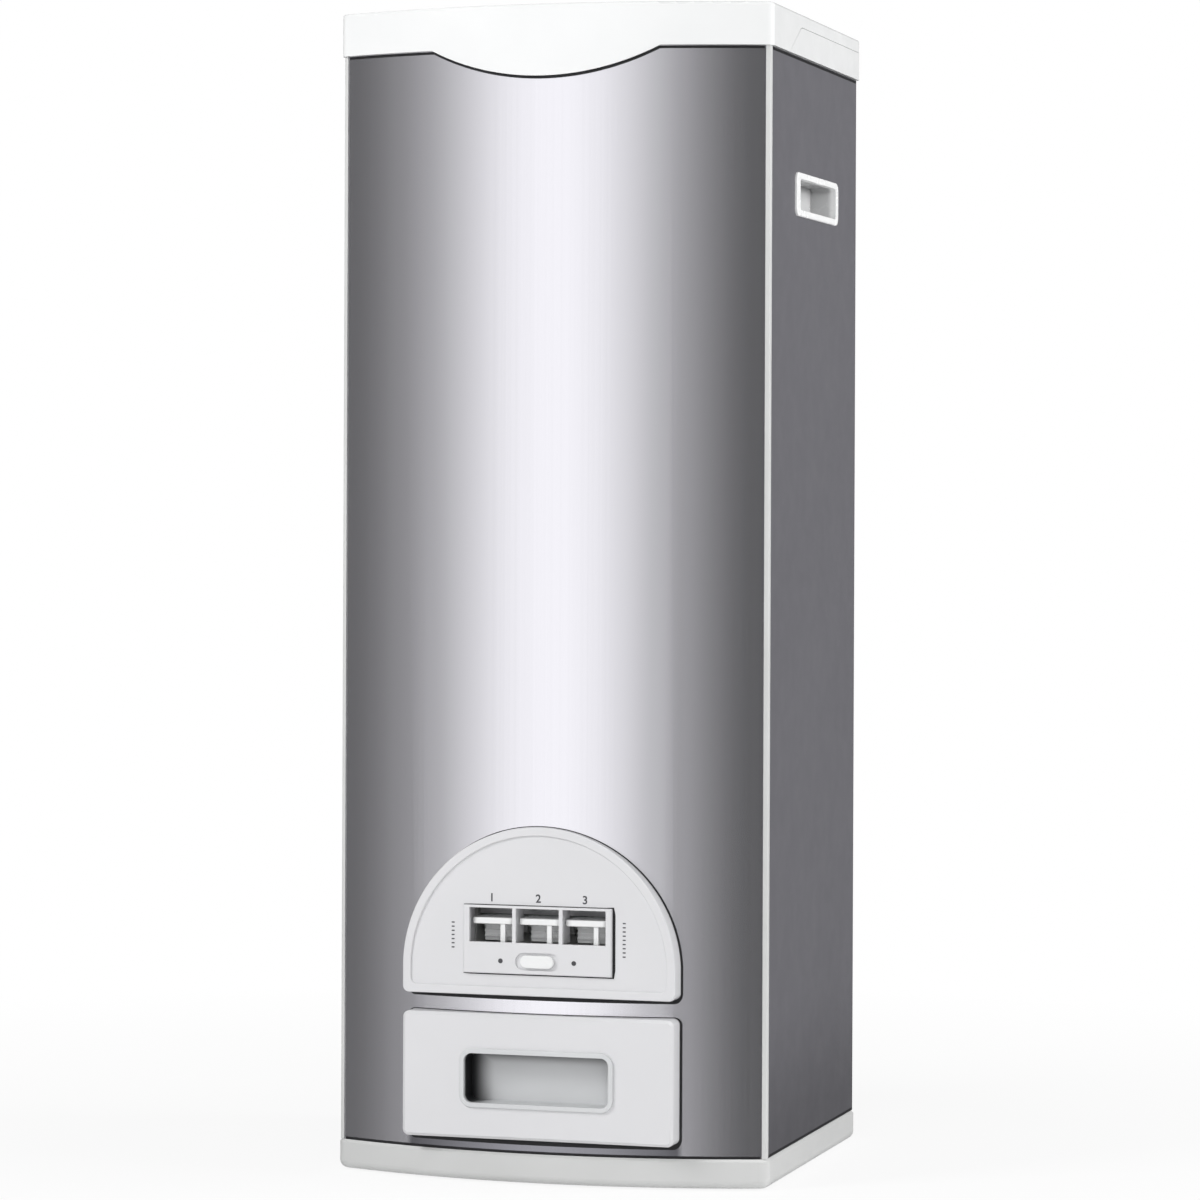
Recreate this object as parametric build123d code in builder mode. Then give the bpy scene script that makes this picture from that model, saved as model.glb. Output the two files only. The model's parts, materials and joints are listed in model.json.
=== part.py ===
from build123d import *
from math import cos, hypot, radians, sin, sqrt
import os

# A free-standing rice dispenser. A lid on top fills the bin, a funnel leads the rice to a metering
# housing with three chambers, each push lever empties one chamber into the drawer at the bottom,
# and a sliding switch locks the levers.
# Millimetres. +Z is up, the front faces -Y, and the origin is the middle of the foot of the
# bounding box.

os.makedirs("parts", exist_ok=True)

# ---------------------------------------------------------------- clearances
FIT = 0.1  # between pieces that are fixed to each other
RUN = 0.3  # between pieces that move past each other
BORE_PLAY = 0.05  # radial, between a pin or shaft and its bore

# ---------------------------------------------------------------- cabinet
BODY_WIDTH = 280.0  # over the side sheets
SIDE_DEPTH = 230.0  # flat side, from the front corner to the back
BOW_RISE = 25.0  # how far the middle of the front stands before its corners
PANEL_HEIGHT = 691.5
SHEET = 1.0  # metal of the front, the sides and the back
SIDE_FLANGE = 14.0  # folded in along the back edge of each side
FLANGE_GAP = 1.0  # from a flange's end to the rims of the base and the collar
TRIM_WIDTH = 4.0  # white strip seen on the side of each front corner
TRIM_FRONT = 2.1  # and on the front of it
TRIM_PROUD = 0.6
TRIM_ROUND = 1.2
TRIM_LIP = 12.0  # part of the strip that lies behind the sheets
TRIM_LIP_T = 1.8

# ---------------------------------------------------------------- base
FOOT_STEP = 1.0  # the feet stand this far below the base
BASE_HEIGHT = 18.5
BASE_LIP = 2.0
BASE_WALL = 2.5
BASE_SKIRT = 5.5  # wall round the hollow underside
BASE_CORNER = 8.0
BASE_EDGE = 1.5
BASE_ROUND = 5.0  # lower edge
UPSTAND = 8.0  # rim that holds the foot of the sheets
UPSTAND_WALL = 2.0
FOOT_RADIUS = 9.0
FOOT_SEAT = 3.0
FOOT_EDGE = 0.5
FOOT_X = 115.0
FOOT_INSET = 25.0  # from the front corner line and from the back

# ---------------------------------------------------------------- collar and lid
COLLAR_HEIGHT = 18.15
COLLAR_WALL = 4.0
SEAM = 0.3
LID_HEIGHT = 8.55  # above the seam
LID_GAP = 0.4  # between the lid's wall and the cabinet
LID_WALL = 2.0
LID_PLATE = 3.0
LID_CORNER = 6.0
LID_BACK_CORNER = 5.0
LID_EDGE = 2.0
RIM_HEIGHT = 2.7
RIM_SETBACK = 1.5
RAMP_START = 40.0  # behind the front corner, where the lid's side wall starts to rise
RAMP_RUN = 30.0
RAMP_ROUND = 12.0
TONGUE_HALF = 75.0
TONGUE_DROP = 18.0
LID_RIB = 2.0
LID_RIB_PITCH = 70.0
LID_RIB_MARGIN = 17.5  # from the rib's end to the corner line and to the back
HINGE_X = 85.0
KNUCKLE_R = 4.0
LID_KNUCKLE = 24.0
COLLAR_KNUCKLE = 12.0
PIN_R = 1.5
CUT_EXTRA = 1.0  # a cut runs this far past the faces that it opens

# ---------------------------------------------------------------- side handles
CUP_LENGTH = 110.0
CUP_HEIGHT = 28.0
CUP_CENTRE_BACK = 119.0  # behind the front corner
CUP_CENTRE_DOWN = 87.5  # below the top of the side sheet
CUP_PROUD = 1.7
CUP_BORDER = 8.0
CUP_BORDER_Z = 4.0
CUP_DEPTH = 17.0
CUP_WALL = 1.8
CUP_CORNER = 4.0

# ---------------------------------------------------------------- drawer
DRAWER_FRONT_UP = 8.9  # above the base
DRAWER_FRONT_WIDTH = 177.0
DRAWER_FRONT_HEIGHT = 78.3
DRAWER_FRONT_T = 5.2  # at the middle, before the sheet
DRAWER_PLATE = 3.0
DRAWER_WALL = 2.5
DRAWER_CORNER = 4.0
DRAWER_BEVEL = 1.8
GRIP_WIDTH = 94.5
GRIP_HEIGHT = 31.0
GRIP_UP = 22.5  # above the foot of the drawer front
GRIP_CORNER = 5.0
GRIP_DEPTH = 17.0
GRIP_RIM = 3.0
GRIP_RIM_PROUD = 1.6
GRIP_RIM_ROUND = 0.7
GRIP_WALL = 1.6
SKIRT_WALL = 2.0
BOX_WIDTH = 164.0
BOX_DEPTH = 182.0
BOX_HEIGHT = 60.0
BOX_UP = 13.5  # above the base
BOX_WALL = 2.0
BOX_CORNER = 6.0
BOX_SETBACK = 14.0  # behind the middle of the front
BOX_RIB = 1.7
BOX_RIB_T = 2.5
BOX_RIB_DOWN = 33.5  # from the box's rim to the top of its side rib
OPENING_MARGIN = 2.5  # of the front sheet's opening round the drawer box
RUNNER_WALL = 2.0
RUNNER_SHELF = 10.0
RUNNER_FOOT = 10.0
RUNNER_LIP = 2.0

# ---------------------------------------------------------------- control bezel
DOME_GAP = 11.6  # steel seen between the drawer front and the bezel
DOME_WIDTH = 178.0
DOME_HEIGHT = 105.6
DOME_SIDE = 20.0  # straight height before the arch
DOME_CORNER = 4.0
DOME_FACE = 2.4  # the flat face stands this far before the middle of the sheet
DOME_PLATE = 2.0
DOME_WALL = 2.5
DOME_RIM = 5.5
DOME_RIM_PROUD = 1.2
DOME_RIM_ROUND = 0.8

# ---------------------------------------------------------------- window insert and lock
INSERT_UP = 13.7  # above the foot of the bezel
INSERT_WIDTH = 97.0
INSERT_HEIGHT = 42.5
INSERT_PROUD = 2.2  # before the bezel's face
INSERT_PLATE = 3.0
INSERT_WALL = 2.2
INSERT_DEPTH = 16.5
INSERT_EDGE = 0.6
INSERT_MARGIN_X = 18.0  # of the front sheet's opening behind the bezel, beside the insert
INSERT_MARGIN_Z = 9.0  # and above and below it
HOOD_DEPTH = 30.5
HOOD_INSET = 1.0  # from the side of the metering housing
WINDOW_UP = 19.5  # above the foot of the insert
WINDOW_WIDTH = 28.1
WINDOW_HEIGHT = 21.5
LEVER_PITCH = 30.5
PARTITION = 2.3
SWITCH_UP = 8.0
SWITCH_SLOT = (28.6, 11.0)  # oval recess, length and height
SWITCH_RECESS = 1.2
KNOB_SIZE = (22.0, 8.0)
KNOB_PROUD = 1.4
STEM_SIZE = (8.0, 3.0)
LOCK_TRAVEL = 3.0  # to each side of the middle
LOCK_BAR_HEIGHT = 10.0
LOCK_BAR_T = 2.0
LOCK_FINGER = 3.0
LOCK_FINGER_REACH = 4.3
LOCK_SINK = 1.0  # the fingers end this far below the windows
LOCK_PLAY = 0.5  # under the levers' tabs
FINGER_GAP = 1.0  # beside a tab, with the switch in the middle

# ---------------------------------------------------------------- levers
LEVER_COUNT = 3
LEVER_ANGLE = 18.0
LEVER_WIDTH = 27.2
SHAFT_R = 3.0
SHAFT_EDGE = 0.5
SHAFT_SETBACK = 38.6  # behind the insert's face
SHAFT_UP = 8.5  # above the foot of the windows
HUB_R = 6.0
LIP_GAP = 0.6
LIP_T = 3.0
LIP_NOSE = 4.0
LIP_ROUND = 0.8
LIP_CORNER = 3.0
LIP_UNDER = 3.5  # the arm's underside, above the shaft
TAB_WIDTH = 3.0
TAB_X = 6.5
TAB_DEPTH = 3.0
TAB_SETBACK = 1.0
STEP_SETBACK = 15.0  # ribbed step, behind the lip's front
STEP_INSET = 4.0  # from the lever's left side
STEP_T = 3.0
STEP_RIB = 1.2
STEP_RIBS = 3
STEP_RIB_PITCH = 3.2
ARM_T = 4.0
ARM_WIDTH = 8.0
ARM_TIP_R = 3.0

# ---------------------------------------------------------------- return springs
SPRING_SETBACK = 12.0  # before the shaft
SPRING_R = 2.8
SPRING_WIRE = 0.8
SPRING_TURNS = 6
SPRING_PEG_H = 4.0
SHELF_T = 2.0
SHELF_DOWN = 30.0  # from the shaft to the top of the shelf
SHELF_MARGIN = 6.0  # before the springs

# ---------------------------------------------------------------- metering unit
GATE_WIDTH = 26.2
GATE_T = 2.0
GATE_LOW = 46.0  # from the shaft down to the lower gate plate's top
GATE_HIGH = 45.0  # from the shaft up to the upper gate plate's underside
GATE_RISER_WIDTH = 21.2
GATE_RISER_GAP = 6.0  # behind the lever's hub
TIP_UP = 5.0  # the arm's tip stands this far above the lower plate
PRONG_T = 2.0
PRONG_HEIGHT = 9.0
PORT_MARGIN = 0.5
GATE_LAP = 1.0  # the lower plate reaches this far behind the port
HOUSING_DEPTH = 70.0
HOUSING_WALL = 2.0
HOUSING_SIDE = 3.7
PORT_SETBACK = 20.0
PORT_CONE = 20.0
EAR_T = 3.0
EAR_LAP = 14.0
EAR_HEAD = 12.0

# ---------------------------------------------------------------- deck, chute, hopper
DECK_T = 1.2
DECK_GAP = 3.8  # above the drawer box
DECK_FLANGE = 12.0
CHUTE_FLANGE = 2.0
CHUTE_WALL = 2.0
NOZZLE_DROP = 1.3
THROAT_PLATE = 2.0
HOPPER_WALL = 1.8
HOPPER_INSET = 3.5
HOPPER_SLOPE = 121.0  # height of the sloped part
HOPPER_BAND = 15.0
LEDGE_T = 2.0
LEDGE_BACK = 20.0
RAIL_T = 2.0
RAIL_HEIGHT = 18.0

# ---------------------------------------------------------------- screws
SCREW_R = 1.5
SCREW_HEAD_R = 3.2
SCREW_HEAD_T = 1.6
SCREW_HEAD_EDGE = 0.7
SCREW_LENGTH = 5.0
SCREW_ROWS = 4
SCREW_MARGIN = 45.0

# ---------------------------------------------------------------- derived places
HALF = BODY_WIDTH / 2
BOW_RADIUS = (HALF**2 + BOW_RISE**2) / (2 * BOW_RISE)
FRONT_REACH = BOW_RISE + RUN + DRAWER_FRONT_T + GRIP_RIM_PROUD
LID_LIP = LID_GAP + LID_WALL
BACK_REACH = SIDE_DEPTH + LID_LIP + KNUCKLE_R
Y_CORNER = (FRONT_REACH - BACK_REACH) / 2
Y_BACK = Y_CORNER + SIDE_DEPTH
Y_PEAK = Y_CORNER - BOW_RISE
MIDDLE_Y = (Y_CORNER + Y_BACK) / 2
BOW_CENTRE_Y = Y_PEAK + BOW_RADIUS

BASE_TOP = FOOT_STEP + BASE_HEIGHT
PANEL_TOP = BASE_TOP + PANEL_HEIGHT
COLLAR_TOP = PANEL_TOP + COLLAR_HEIGHT
LID_FOOT = COLLAR_TOP + SEAM
LID_TOP = LID_FOOT + LID_HEIGHT
LID_UNDER = LID_TOP - LID_PLATE
RIM_TOP = COLLAR_TOP + RIM_HEIGHT
SPIGOT_OUT = SHEET + 2 * FIT
HINGE_Y = Y_BACK + LID_LIP
HINGE_Z = COLLAR_TOP + SEAM / 2

DRAWER_FRONT_Z = BASE_TOP + DRAWER_FRONT_UP
GRIP_Z = DRAWER_FRONT_Z + GRIP_UP + GRIP_HEIGHT / 2
BOX_Z = BASE_TOP + BOX_UP
BOX_TOP = BOX_Z + BOX_HEIGHT
BOX_FRONT_Y = Y_PEAK + BOX_SETBACK
RIB_TOP = BOX_TOP - BOX_RIB_DOWN
RUNNER_TOP = BOX_Z - RUN

DOME_Z = DRAWER_FRONT_Z + DRAWER_FRONT_HEIGHT + DOME_GAP
INSERT_Z = DOME_Z + INSERT_UP
INSERT_Y = Y_PEAK - DOME_FACE - INSERT_PROUD
WINDOW_Z = INSERT_Z + WINDOW_UP
SWITCH_Z = INSERT_Z + SWITCH_UP
SHAFT_Y = INSERT_Y + SHAFT_SETBACK
SHAFT_Z = WINDOW_Z + SHAFT_UP
LIP_REACH = SHAFT_SETBACK - INSERT_PLATE - LIP_GAP
ARM_LOW = SHAFT_Z + LIP_UNDER
ARM_HIGH = ARM_LOW + LIP_T
LEVER_XS = [(n - (LEVER_COUNT - 1) / 2) * LEVER_PITCH for n in range(LEVER_COUNT)]
LOCK_TOP = WINDOW_Z - LOCK_SINK
TAB_FOOT = LOCK_TOP + LOCK_PLAY

GATE_PLATE_Z = SHAFT_Z - GATE_LOW - GATE_T
GATE_TOP_Z = SHAFT_Z + GATE_HIGH
TIP_DOWN = GATE_LOW - TIP_UP
ARM_RADIUS = TIP_DOWN / cos(radians(LEVER_ANGLE / 2))
GATE_TRAVEL = 2 * ARM_RADIUS * sin(radians(LEVER_ANGLE / 2))
TIP_Y = SHAFT_Y - GATE_TRAVEL / 2
RISER_Y = SHAFT_Y + HUB_R + GATE_RISER_GAP
HOUSING_Y = RISER_Y + GATE_T + GATE_TRAVEL + RUN
HOUSING_BACK = HOUSING_Y + HOUSING_DEPTH
HOUSING_HALF = (LEVER_COUNT * LEVER_PITCH - (LEVER_PITCH - GATE_WIDTH)) / 2 + RUN + HOUSING_SIDE
PORT_Y = HOUSING_Y + PORT_SETBACK
PORT_LENGTH = GATE_TRAVEL - PORT_MARGIN
HOUSING_Z = GATE_PLATE_Z + GATE_T + RUN
HOUSING_TOP = GATE_TOP_Z - RUN
THROAT_Z = GATE_TOP_Z + GATE_T + RUN
CHUTE_TOP = GATE_PLATE_Z - RUN
DECK_TOP = BOX_TOP + DECK_GAP + DECK_T
FUNNEL_Z = THROAT_Z + THROAT_PLATE
BAND_Z = FUNNEL_Z + HOPPER_SLOPE
BAND_TOP = BAND_Z + HOPPER_BAND
HOPPER_X = HALF - HOPPER_INSET
SHELF_TOP = SHAFT_Z - SHELF_DOWN
SPRING_Y = SHAFT_Y - SPRING_SETBACK


# ---------------------------------------------------------------- shared outlines
def bow_y(x, grow=0.0):
    """Y of the bowed front at x, for the front grown outwards by a distance."""
    return BOW_CENTRE_Y - sqrt((BOW_RADIUS + grow) ** 2 - x**2)


def body_outline(z, grow=0.0, front_corner=0.0, back_corner=0.0):
    """The cabinet in plan, grown outwards by a distance, with rounded corners."""
    half = HALF + grow
    front, back = bow_y(half, grow), Y_BACK + grow
    with BuildSketch(Plane.XY.offset(z)) as outline:
        with BuildLine():
            ThreePointArc((-half, front), (0, bow_y(0, grow)), (half, front))
            Polyline((half, front), (half, back), (-half, back), (-half, front))
        make_face()
        if front_corner:
            fillet(outline.vertices().group_by(Axis.Y)[0], front_corner)
        if back_corner:
            fillet(outline.vertices().group_by(Axis.Y)[-1], back_corner)
    return outline.sketch


def bow_band(z, inner, outer, left, right):
    """A strip in plan that follows the bowed front, between two distances outside it."""
    middle = (left + right) / 2
    with BuildSketch(Plane.XY.offset(z)) as band:
        with BuildLine():
            ThreePointArc(
                (left, bow_y(left, outer)), (middle, bow_y(middle, outer)), (right, bow_y(right, outer))
            )
            Line((right, bow_y(right, outer)), (right, bow_y(right, inner)))
            ThreePointArc(
                (right, bow_y(right, inner)), (middle, bow_y(middle, inner)), (left, bow_y(left, inner))
            )
            Line((left, bow_y(left, inner)), (left, bow_y(left, outer)))
        make_face()
    return band.sketch


def front_plane(y):
    """Upright plane at a Y, seen from the front: X to the right, Z up."""
    return Plane.XZ.offset(-y)


def front_rectangle(y, centre_z, width, height, corner=0.0, centre_x=0.0):
    """An upright rectangle seen from the front, with rounded corners."""
    with BuildSketch(front_plane(y)) as face:
        with Locations((centre_x, centre_z)):
            if corner:
                RectangleRounded(width, height, corner)
            else:
                Rectangle(width, height)
    return face.sketch


def front_oval(y, centre_z, size, centre_x=0.0):
    """An upright slot with round ends, seen from the front."""
    with BuildSketch(front_plane(y)) as face:
        with Locations((centre_x, centre_z)):
            SlotOverall(size[0], size[1])
    return face.sketch


def dome_outline(y, inset=0.0):
    """The arched outline of the control bezel, drawn inwards by a distance."""
    half, foot = DOME_WIDTH / 2 - inset, DOME_Z + inset
    spring, top = DOME_Z + DOME_SIDE, DOME_Z + DOME_HEIGHT - inset
    with BuildSketch(front_plane(y)) as arch:
        with BuildLine():
            Polyline((-half, spring), (-half, foot), (half, foot), (half, spring))
            ThreePointArc((half, spring), (0, top), (-half, spring))
        make_face()
        fillet(arch.vertices().group_by(Axis.Y)[0], DOME_CORNER)
    return arch.sketch


# ---------------------------------------------------------------- base and feet
FOOT_YS = (Y_CORNER + FOOT_INSET, Y_BACK - FOOT_INSET)
FOOT_PLACES = [(x, y) for x in (-FOOT_X, FOOT_X) for y in FOOT_YS]

with BuildPart() as base_plinth:
    extrude(body_outline(FOOT_STEP, BASE_LIP, BASE_CORNER, BASE_CORNER), amount=BASE_HEIGHT)
    chamfer(base_plinth.faces().sort_by(Axis.Z)[-1].outer_wire().edges(), BASE_EDGE)
    fillet(base_plinth.faces().sort_by(Axis.Z)[0].outer_wire().edges(), BASE_ROUND)
    extrude(
        body_outline(FOOT_STEP, BASE_LIP - BASE_SKIRT),
        amount=BASE_HEIGHT - BASE_WALL,
        mode=Mode.SUBTRACT,
    )
    # ribs across the hollow underside and a round boss for each foot
    with BuildSketch(Plane.XY.offset(FOOT_STEP + FOOT_SEAT)):
        with Locations((0, MIDDLE_Y)):
            Rectangle(BODY_WIDTH, BASE_WALL)
        for rib_x in (-HALF / 2, 0, HALF / 2):
            with Locations((rib_x, MIDDLE_Y)):
                Rectangle(BASE_WALL, SIDE_DEPTH)
    extrude(amount=BASE_HEIGHT - BASE_WALL - FOOT_SEAT)
    with BuildSketch(Plane.XY.offset(FOOT_STEP)):
        with Locations(*FOOT_PLACES):
            Circle(FOOT_RADIUS + BASE_WALL)
    extrude(amount=BASE_HEIGHT - BASE_WALL)
    with BuildSketch(Plane.XY.offset(FOOT_STEP)):
        with Locations(*FOOT_PLACES):
            Circle(FOOT_RADIUS + FIT)
    extrude(amount=FOOT_SEAT, mode=Mode.SUBTRACT)
    # rim that stands inside the sheets
    extrude(body_outline(BASE_TOP, -SPIGOT_OUT), amount=UPSTAND)
    extrude(body_outline(BASE_TOP, -SPIGOT_OUT - UPSTAND_WALL), amount=UPSTAND, mode=Mode.SUBTRACT)
base_plinth.part.label = "base_plinth"
export_step(base_plinth.part, "parts/base_plinth.step")

with BuildPart() as rubber_feet:
    with BuildSketch():
        with Locations(*FOOT_PLACES):
            Circle(FOOT_RADIUS)
    extrude(amount=FOOT_STEP + FOOT_SEAT)
    chamfer(rubber_feet.edges().group_by(Axis.Z)[0], FOOT_EDGE)
rubber_feet.part.label = "rubber_feet"
export_step(rubber_feet.part, "parts/rubber_feet.step")

# ---------------------------------------------------------------- sheets
CUP_Y = Y_CORNER + CUP_CENTRE_BACK
CUP_Z = PANEL_TOP - CUP_CENTRE_DOWN
SLEEVE_SIZE = (
    CUP_LENGTH - 2 * CUP_BORDER + 2 * CUP_WALL,
    CUP_HEIGHT - 2 * CUP_BORDER_Z + 2 * CUP_WALL,
)
FLANGE_Z = BASE_TOP + UPSTAND + FLANGE_GAP
FLANGE_HEIGHT = PANEL_HEIGHT - 2 * (UPSTAND + FLANGE_GAP)
SCREW_STEP = (FLANGE_HEIGHT - 2 * SCREW_MARGIN) / (SCREW_ROWS - 1)
SCREW_ZS = [FLANGE_Z + SCREW_MARGIN + row * SCREW_STEP for row in range(SCREW_ROWS)]
SCREW_X = HALF - SIDE_FLANGE / 2
SCREW_PLACES = [(x, z) for x in (-SCREW_X, SCREW_X) for z in SCREW_ZS]


def side_panel(side):
    """One flat side sheet with its handle opening and its folded back edge."""
    front = Y_CORNER + TRIM_WIDTH + FIT
    back = Y_BACK - SHEET - FIT
    with BuildPart() as panel:
        with BuildSketch(Plane.XY.offset(BASE_TOP)):
            with Locations((side * (HALF - SHEET / 2), (front + back) / 2)):
                Rectangle(SHEET, back - front)
        extrude(amount=PANEL_HEIGHT)
        with BuildSketch(Plane.XY.offset(FLANGE_Z)):
            with Locations((side * (HALF - SIDE_FLANGE / 2), back - SHEET / 2)):
                Rectangle(SIDE_FLANGE, SHEET)
        extrude(amount=FLANGE_HEIGHT)
        with BuildSketch(Plane.YZ.offset(side * HALF)):
            with Locations((CUP_Y, CUP_Z)):
                RectangleRounded(SLEEVE_SIZE[0] + 2 * FIT, SLEEVE_SIZE[1] + 2 * FIT, CUP_CORNER)
        extrude(amount=-side * SHEET, mode=Mode.SUBTRACT)
        with BuildSketch(front_plane(back)):
            with Locations(*SCREW_PLACES):
                Circle(SCREW_R + BORE_PLAY)
        extrude(amount=SHEET, mode=Mode.SUBTRACT)
    return panel


left_side_panel = side_panel(-1)
left_side_panel.part.label = "left_side_panel"
export_step(left_side_panel.part, "parts/left_side_panel.step")
right_side_panel = side_panel(1)
right_side_panel.part.label = "right_side_panel"
export_step(right_side_panel.part, "parts/right_side_panel.step")

with BuildPart() as back_panel:
    with BuildSketch(Plane.XY.offset(BASE_TOP)):
        with Locations((0, Y_BACK - SHEET / 2)):
            Rectangle(BODY_WIDTH, SHEET)
    extrude(amount=PANEL_HEIGHT)
    with BuildSketch(front_plane(Y_BACK)):
        with Locations(*SCREW_PLACES):
            Circle(SCREW_R + BORE_PLAY)
    extrude(amount=SHEET, mode=Mode.SUBTRACT)
back_panel.part.label = "back_panel"
export_step(back_panel.part, "parts/back_panel.step")

with BuildPart() as back_screws:
    with BuildSketch(front_plane(Y_BACK)):
        with Locations(*SCREW_PLACES):
            Circle(SCREW_R)
    extrude(amount=SCREW_LENGTH)
    with BuildSketch(front_plane(Y_BACK + SCREW_HEAD_T)):
        with Locations(*SCREW_PLACES):
            Circle(SCREW_HEAD_R)
    extrude(amount=SCREW_HEAD_T)
    chamfer(back_screws.edges().group_by(Axis.Y)[-1], SCREW_HEAD_EDGE)
back_screws.part.label = "back_screws"
export_step(back_screws.part, "parts/back_screws.step")

OPENING_HALF = BOX_WIDTH / 2 + OPENING_MARGIN
INSERT_CENTRE_Z = INSERT_Z + INSERT_HEIGHT / 2
CUT_REACH = 2 * BOW_RISE + DOME_FACE  # enough to cut through anything on the front

with BuildPart() as front_panel:
    edge = HALF - TRIM_FRONT - FIT
    extrude(bow_band(BASE_TOP, -SHEET, 0, -edge, edge), amount=PANEL_HEIGHT)
    extrude(
        front_rectangle(
            Y_CORNER, BOX_Z + BOX_HEIGHT / 2, 2 * OPENING_HALF, BOX_HEIGHT + 2 * OPENING_MARGIN, BOX_CORNER
        ),
        amount=CUT_REACH,
        mode=Mode.SUBTRACT,
    )
    extrude(
        front_rectangle(
            Y_CORNER,
            INSERT_CENTRE_Z,
            INSERT_WIDTH + 2 * INSERT_MARGIN_X,
            INSERT_HEIGHT + 2 * INSERT_MARGIN_Z,
        ),
        amount=CUT_REACH,
        mode=Mode.SUBTRACT,
    )
front_panel.part.label = "front_panel"
export_step(front_panel.part, "parts/front_panel.step")


def corner_trim(side):
    """One white strip: a rounded bead on the corner and two lips behind the sheets."""
    with BuildPart() as trim:
        extrude(body_outline(BASE_TOP, TRIM_PROUD, TRIM_ROUND), amount=PANEL_HEIGHT)
        extrude(body_outline(BASE_TOP, -SHEET - FIT), amount=PANEL_HEIGHT, mode=Mode.SUBTRACT)
        with BuildSketch(Plane.XY.offset(BASE_TOP)):
            with Locations((side * HALF, Y_CORNER)):
                Rectangle(2 * TRIM_FRONT, 2 * TRIM_WIDTH)
        extrude(amount=PANEL_HEIGHT, mode=Mode.INTERSECT)
    with BuildPart() as lips:
        extrude(body_outline(FLANGE_Z, -SHEET - FIT), amount=FLANGE_HEIGHT)
        extrude(
            body_outline(FLANGE_Z, -SHEET - FIT - TRIM_LIP_T), amount=FLANGE_HEIGHT, mode=Mode.SUBTRACT
        )
        with BuildSketch(Plane.XY.offset(FLANGE_Z)):
            with Locations((side * HALF, Y_CORNER)):
                Rectangle(2 * (TRIM_WIDTH + TRIM_LIP), 2 * (TRIM_WIDTH + TRIM_LIP))
        extrude(amount=FLANGE_HEIGHT, mode=Mode.INTERSECT)
        add(trim.part)
    return lips


left_corner_trim = corner_trim(-1)
left_corner_trim.part.label = "left_corner_trim"
export_step(left_corner_trim.part, "parts/left_corner_trim.step")
right_corner_trim = corner_trim(1)
right_corner_trim.part.label = "right_corner_trim"
export_step(right_corner_trim.part, "parts/right_corner_trim.step")


# ---------------------------------------------------------------- collar, lid and hinge
def ramp_outline(gap, sign):
    """Seen from the side: all that lies behind and below the rising seam, moved by a gap."""
    start, end = Y_CORNER + RAMP_START + gap, Y_CORNER + RAMP_START + RAMP_RUN + gap
    level = COLLAR_TOP + (SEAM if sign > 0 else 0)
    low = PANEL_TOP - 2 * TONGUE_DROP
    slope = (level - PANEL_TOP) / RAMP_RUN
    foot = start - (PANEL_TOP - low) / slope
    beyond = Y_BACK + 2 * LID_LIP + KNUCKLE_R
    with BuildSketch(Plane.YZ) as ramp:
        with BuildLine():
            Polyline((foot, low), (end, level), (beyond, level), (beyond, low), (foot, low))
        make_face()
        fillet(ramp.vertices().group_by(Axis.Y)[-1].sort_by(Axis.X)[0], RAMP_ROUND)
    return ramp.sketch


def knuckle(x, width, radius):
    """A hinge barrel on the lid's axis, standing from one side of an X."""
    with BuildPart() as barrel:
        with BuildSketch(Plane.YZ.offset(x - width / 2)):
            with Locations((HINGE_Y, HINGE_Z)):
                Circle(radius)
        extrude(amount=width)
    return barrel.part


COLLAR_KNUCKLE_XS = [
    hinge + side * (LID_KNUCKLE + COLLAR_KNUCKLE + 2 * RUN) / 2
    for hinge in (-HINGE_X, HINGE_X)
    for side in (-1, 1)
]
HINGE_WIDTH = LID_KNUCKLE + 2 * COLLAR_KNUCKLE + 2 * RUN

with BuildPart() as collar_flank:
    # outer band beside and behind the lid's front apron, level with the lid
    extrude(body_outline(PANEL_TOP, LID_LIP, LID_CORNER, LID_BACK_CORNER), amount=COLLAR_HEIGHT)
    extrude(ramp_outline(RUN, -1), amount=BODY_WIDTH, both=True, mode=Mode.INTERSECT)

with BuildPart() as top_collar:
    extrude(body_outline(PANEL_TOP, 0, LID_CORNER - LID_LIP), amount=COLLAR_HEIGHT)
    add(collar_flank.part)
    extrude(body_outline(COLLAR_TOP, -RIM_SETBACK), amount=RIM_HEIGHT)
    extrude(body_outline(PANEL_TOP - UPSTAND, -SPIGOT_OUT), amount=UPSTAND)
    extrude(
        body_outline(PANEL_TOP, -COLLAR_WALL), amount=COLLAR_HEIGHT + RIM_HEIGHT, mode=Mode.SUBTRACT
    )
    extrude(
        body_outline(PANEL_TOP - UPSTAND, -SPIGOT_OUT - UPSTAND_WALL), amount=UPSTAND, mode=Mode.SUBTRACT
    )
    for knuckle_x in COLLAR_KNUCKLE_XS:
        add(knuckle(knuckle_x, COLLAR_KNUCKLE, KNUCKLE_R))
    for hinge_x in (-HINGE_X, HINGE_X):
        add(knuckle(hinge_x, LID_KNUCKLE + 2 * RUN, KNUCKLE_R + RUN), mode=Mode.SUBTRACT)
        add(knuckle(hinge_x, HINGE_WIDTH + 2 * CUT_EXTRA, PIN_R + BORE_PLAY), mode=Mode.SUBTRACT)
top_collar.part.label = "top_collar"
export_step(top_collar.part, "parts/top_collar.step")

with BuildPart() as lid_gasket:
    extrude(body_outline(RIM_TOP, -RIM_SETBACK), amount=LID_UNDER - RUN - RIM_TOP)
    extrude(body_outline(RIM_TOP, -COLLAR_WALL), amount=LID_UNDER - RUN - RIM_TOP, mode=Mode.SUBTRACT)
lid_gasket.part.label = "lid_gasket"
export_step(lid_gasket.part, "parts/lid_gasket.step")

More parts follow.
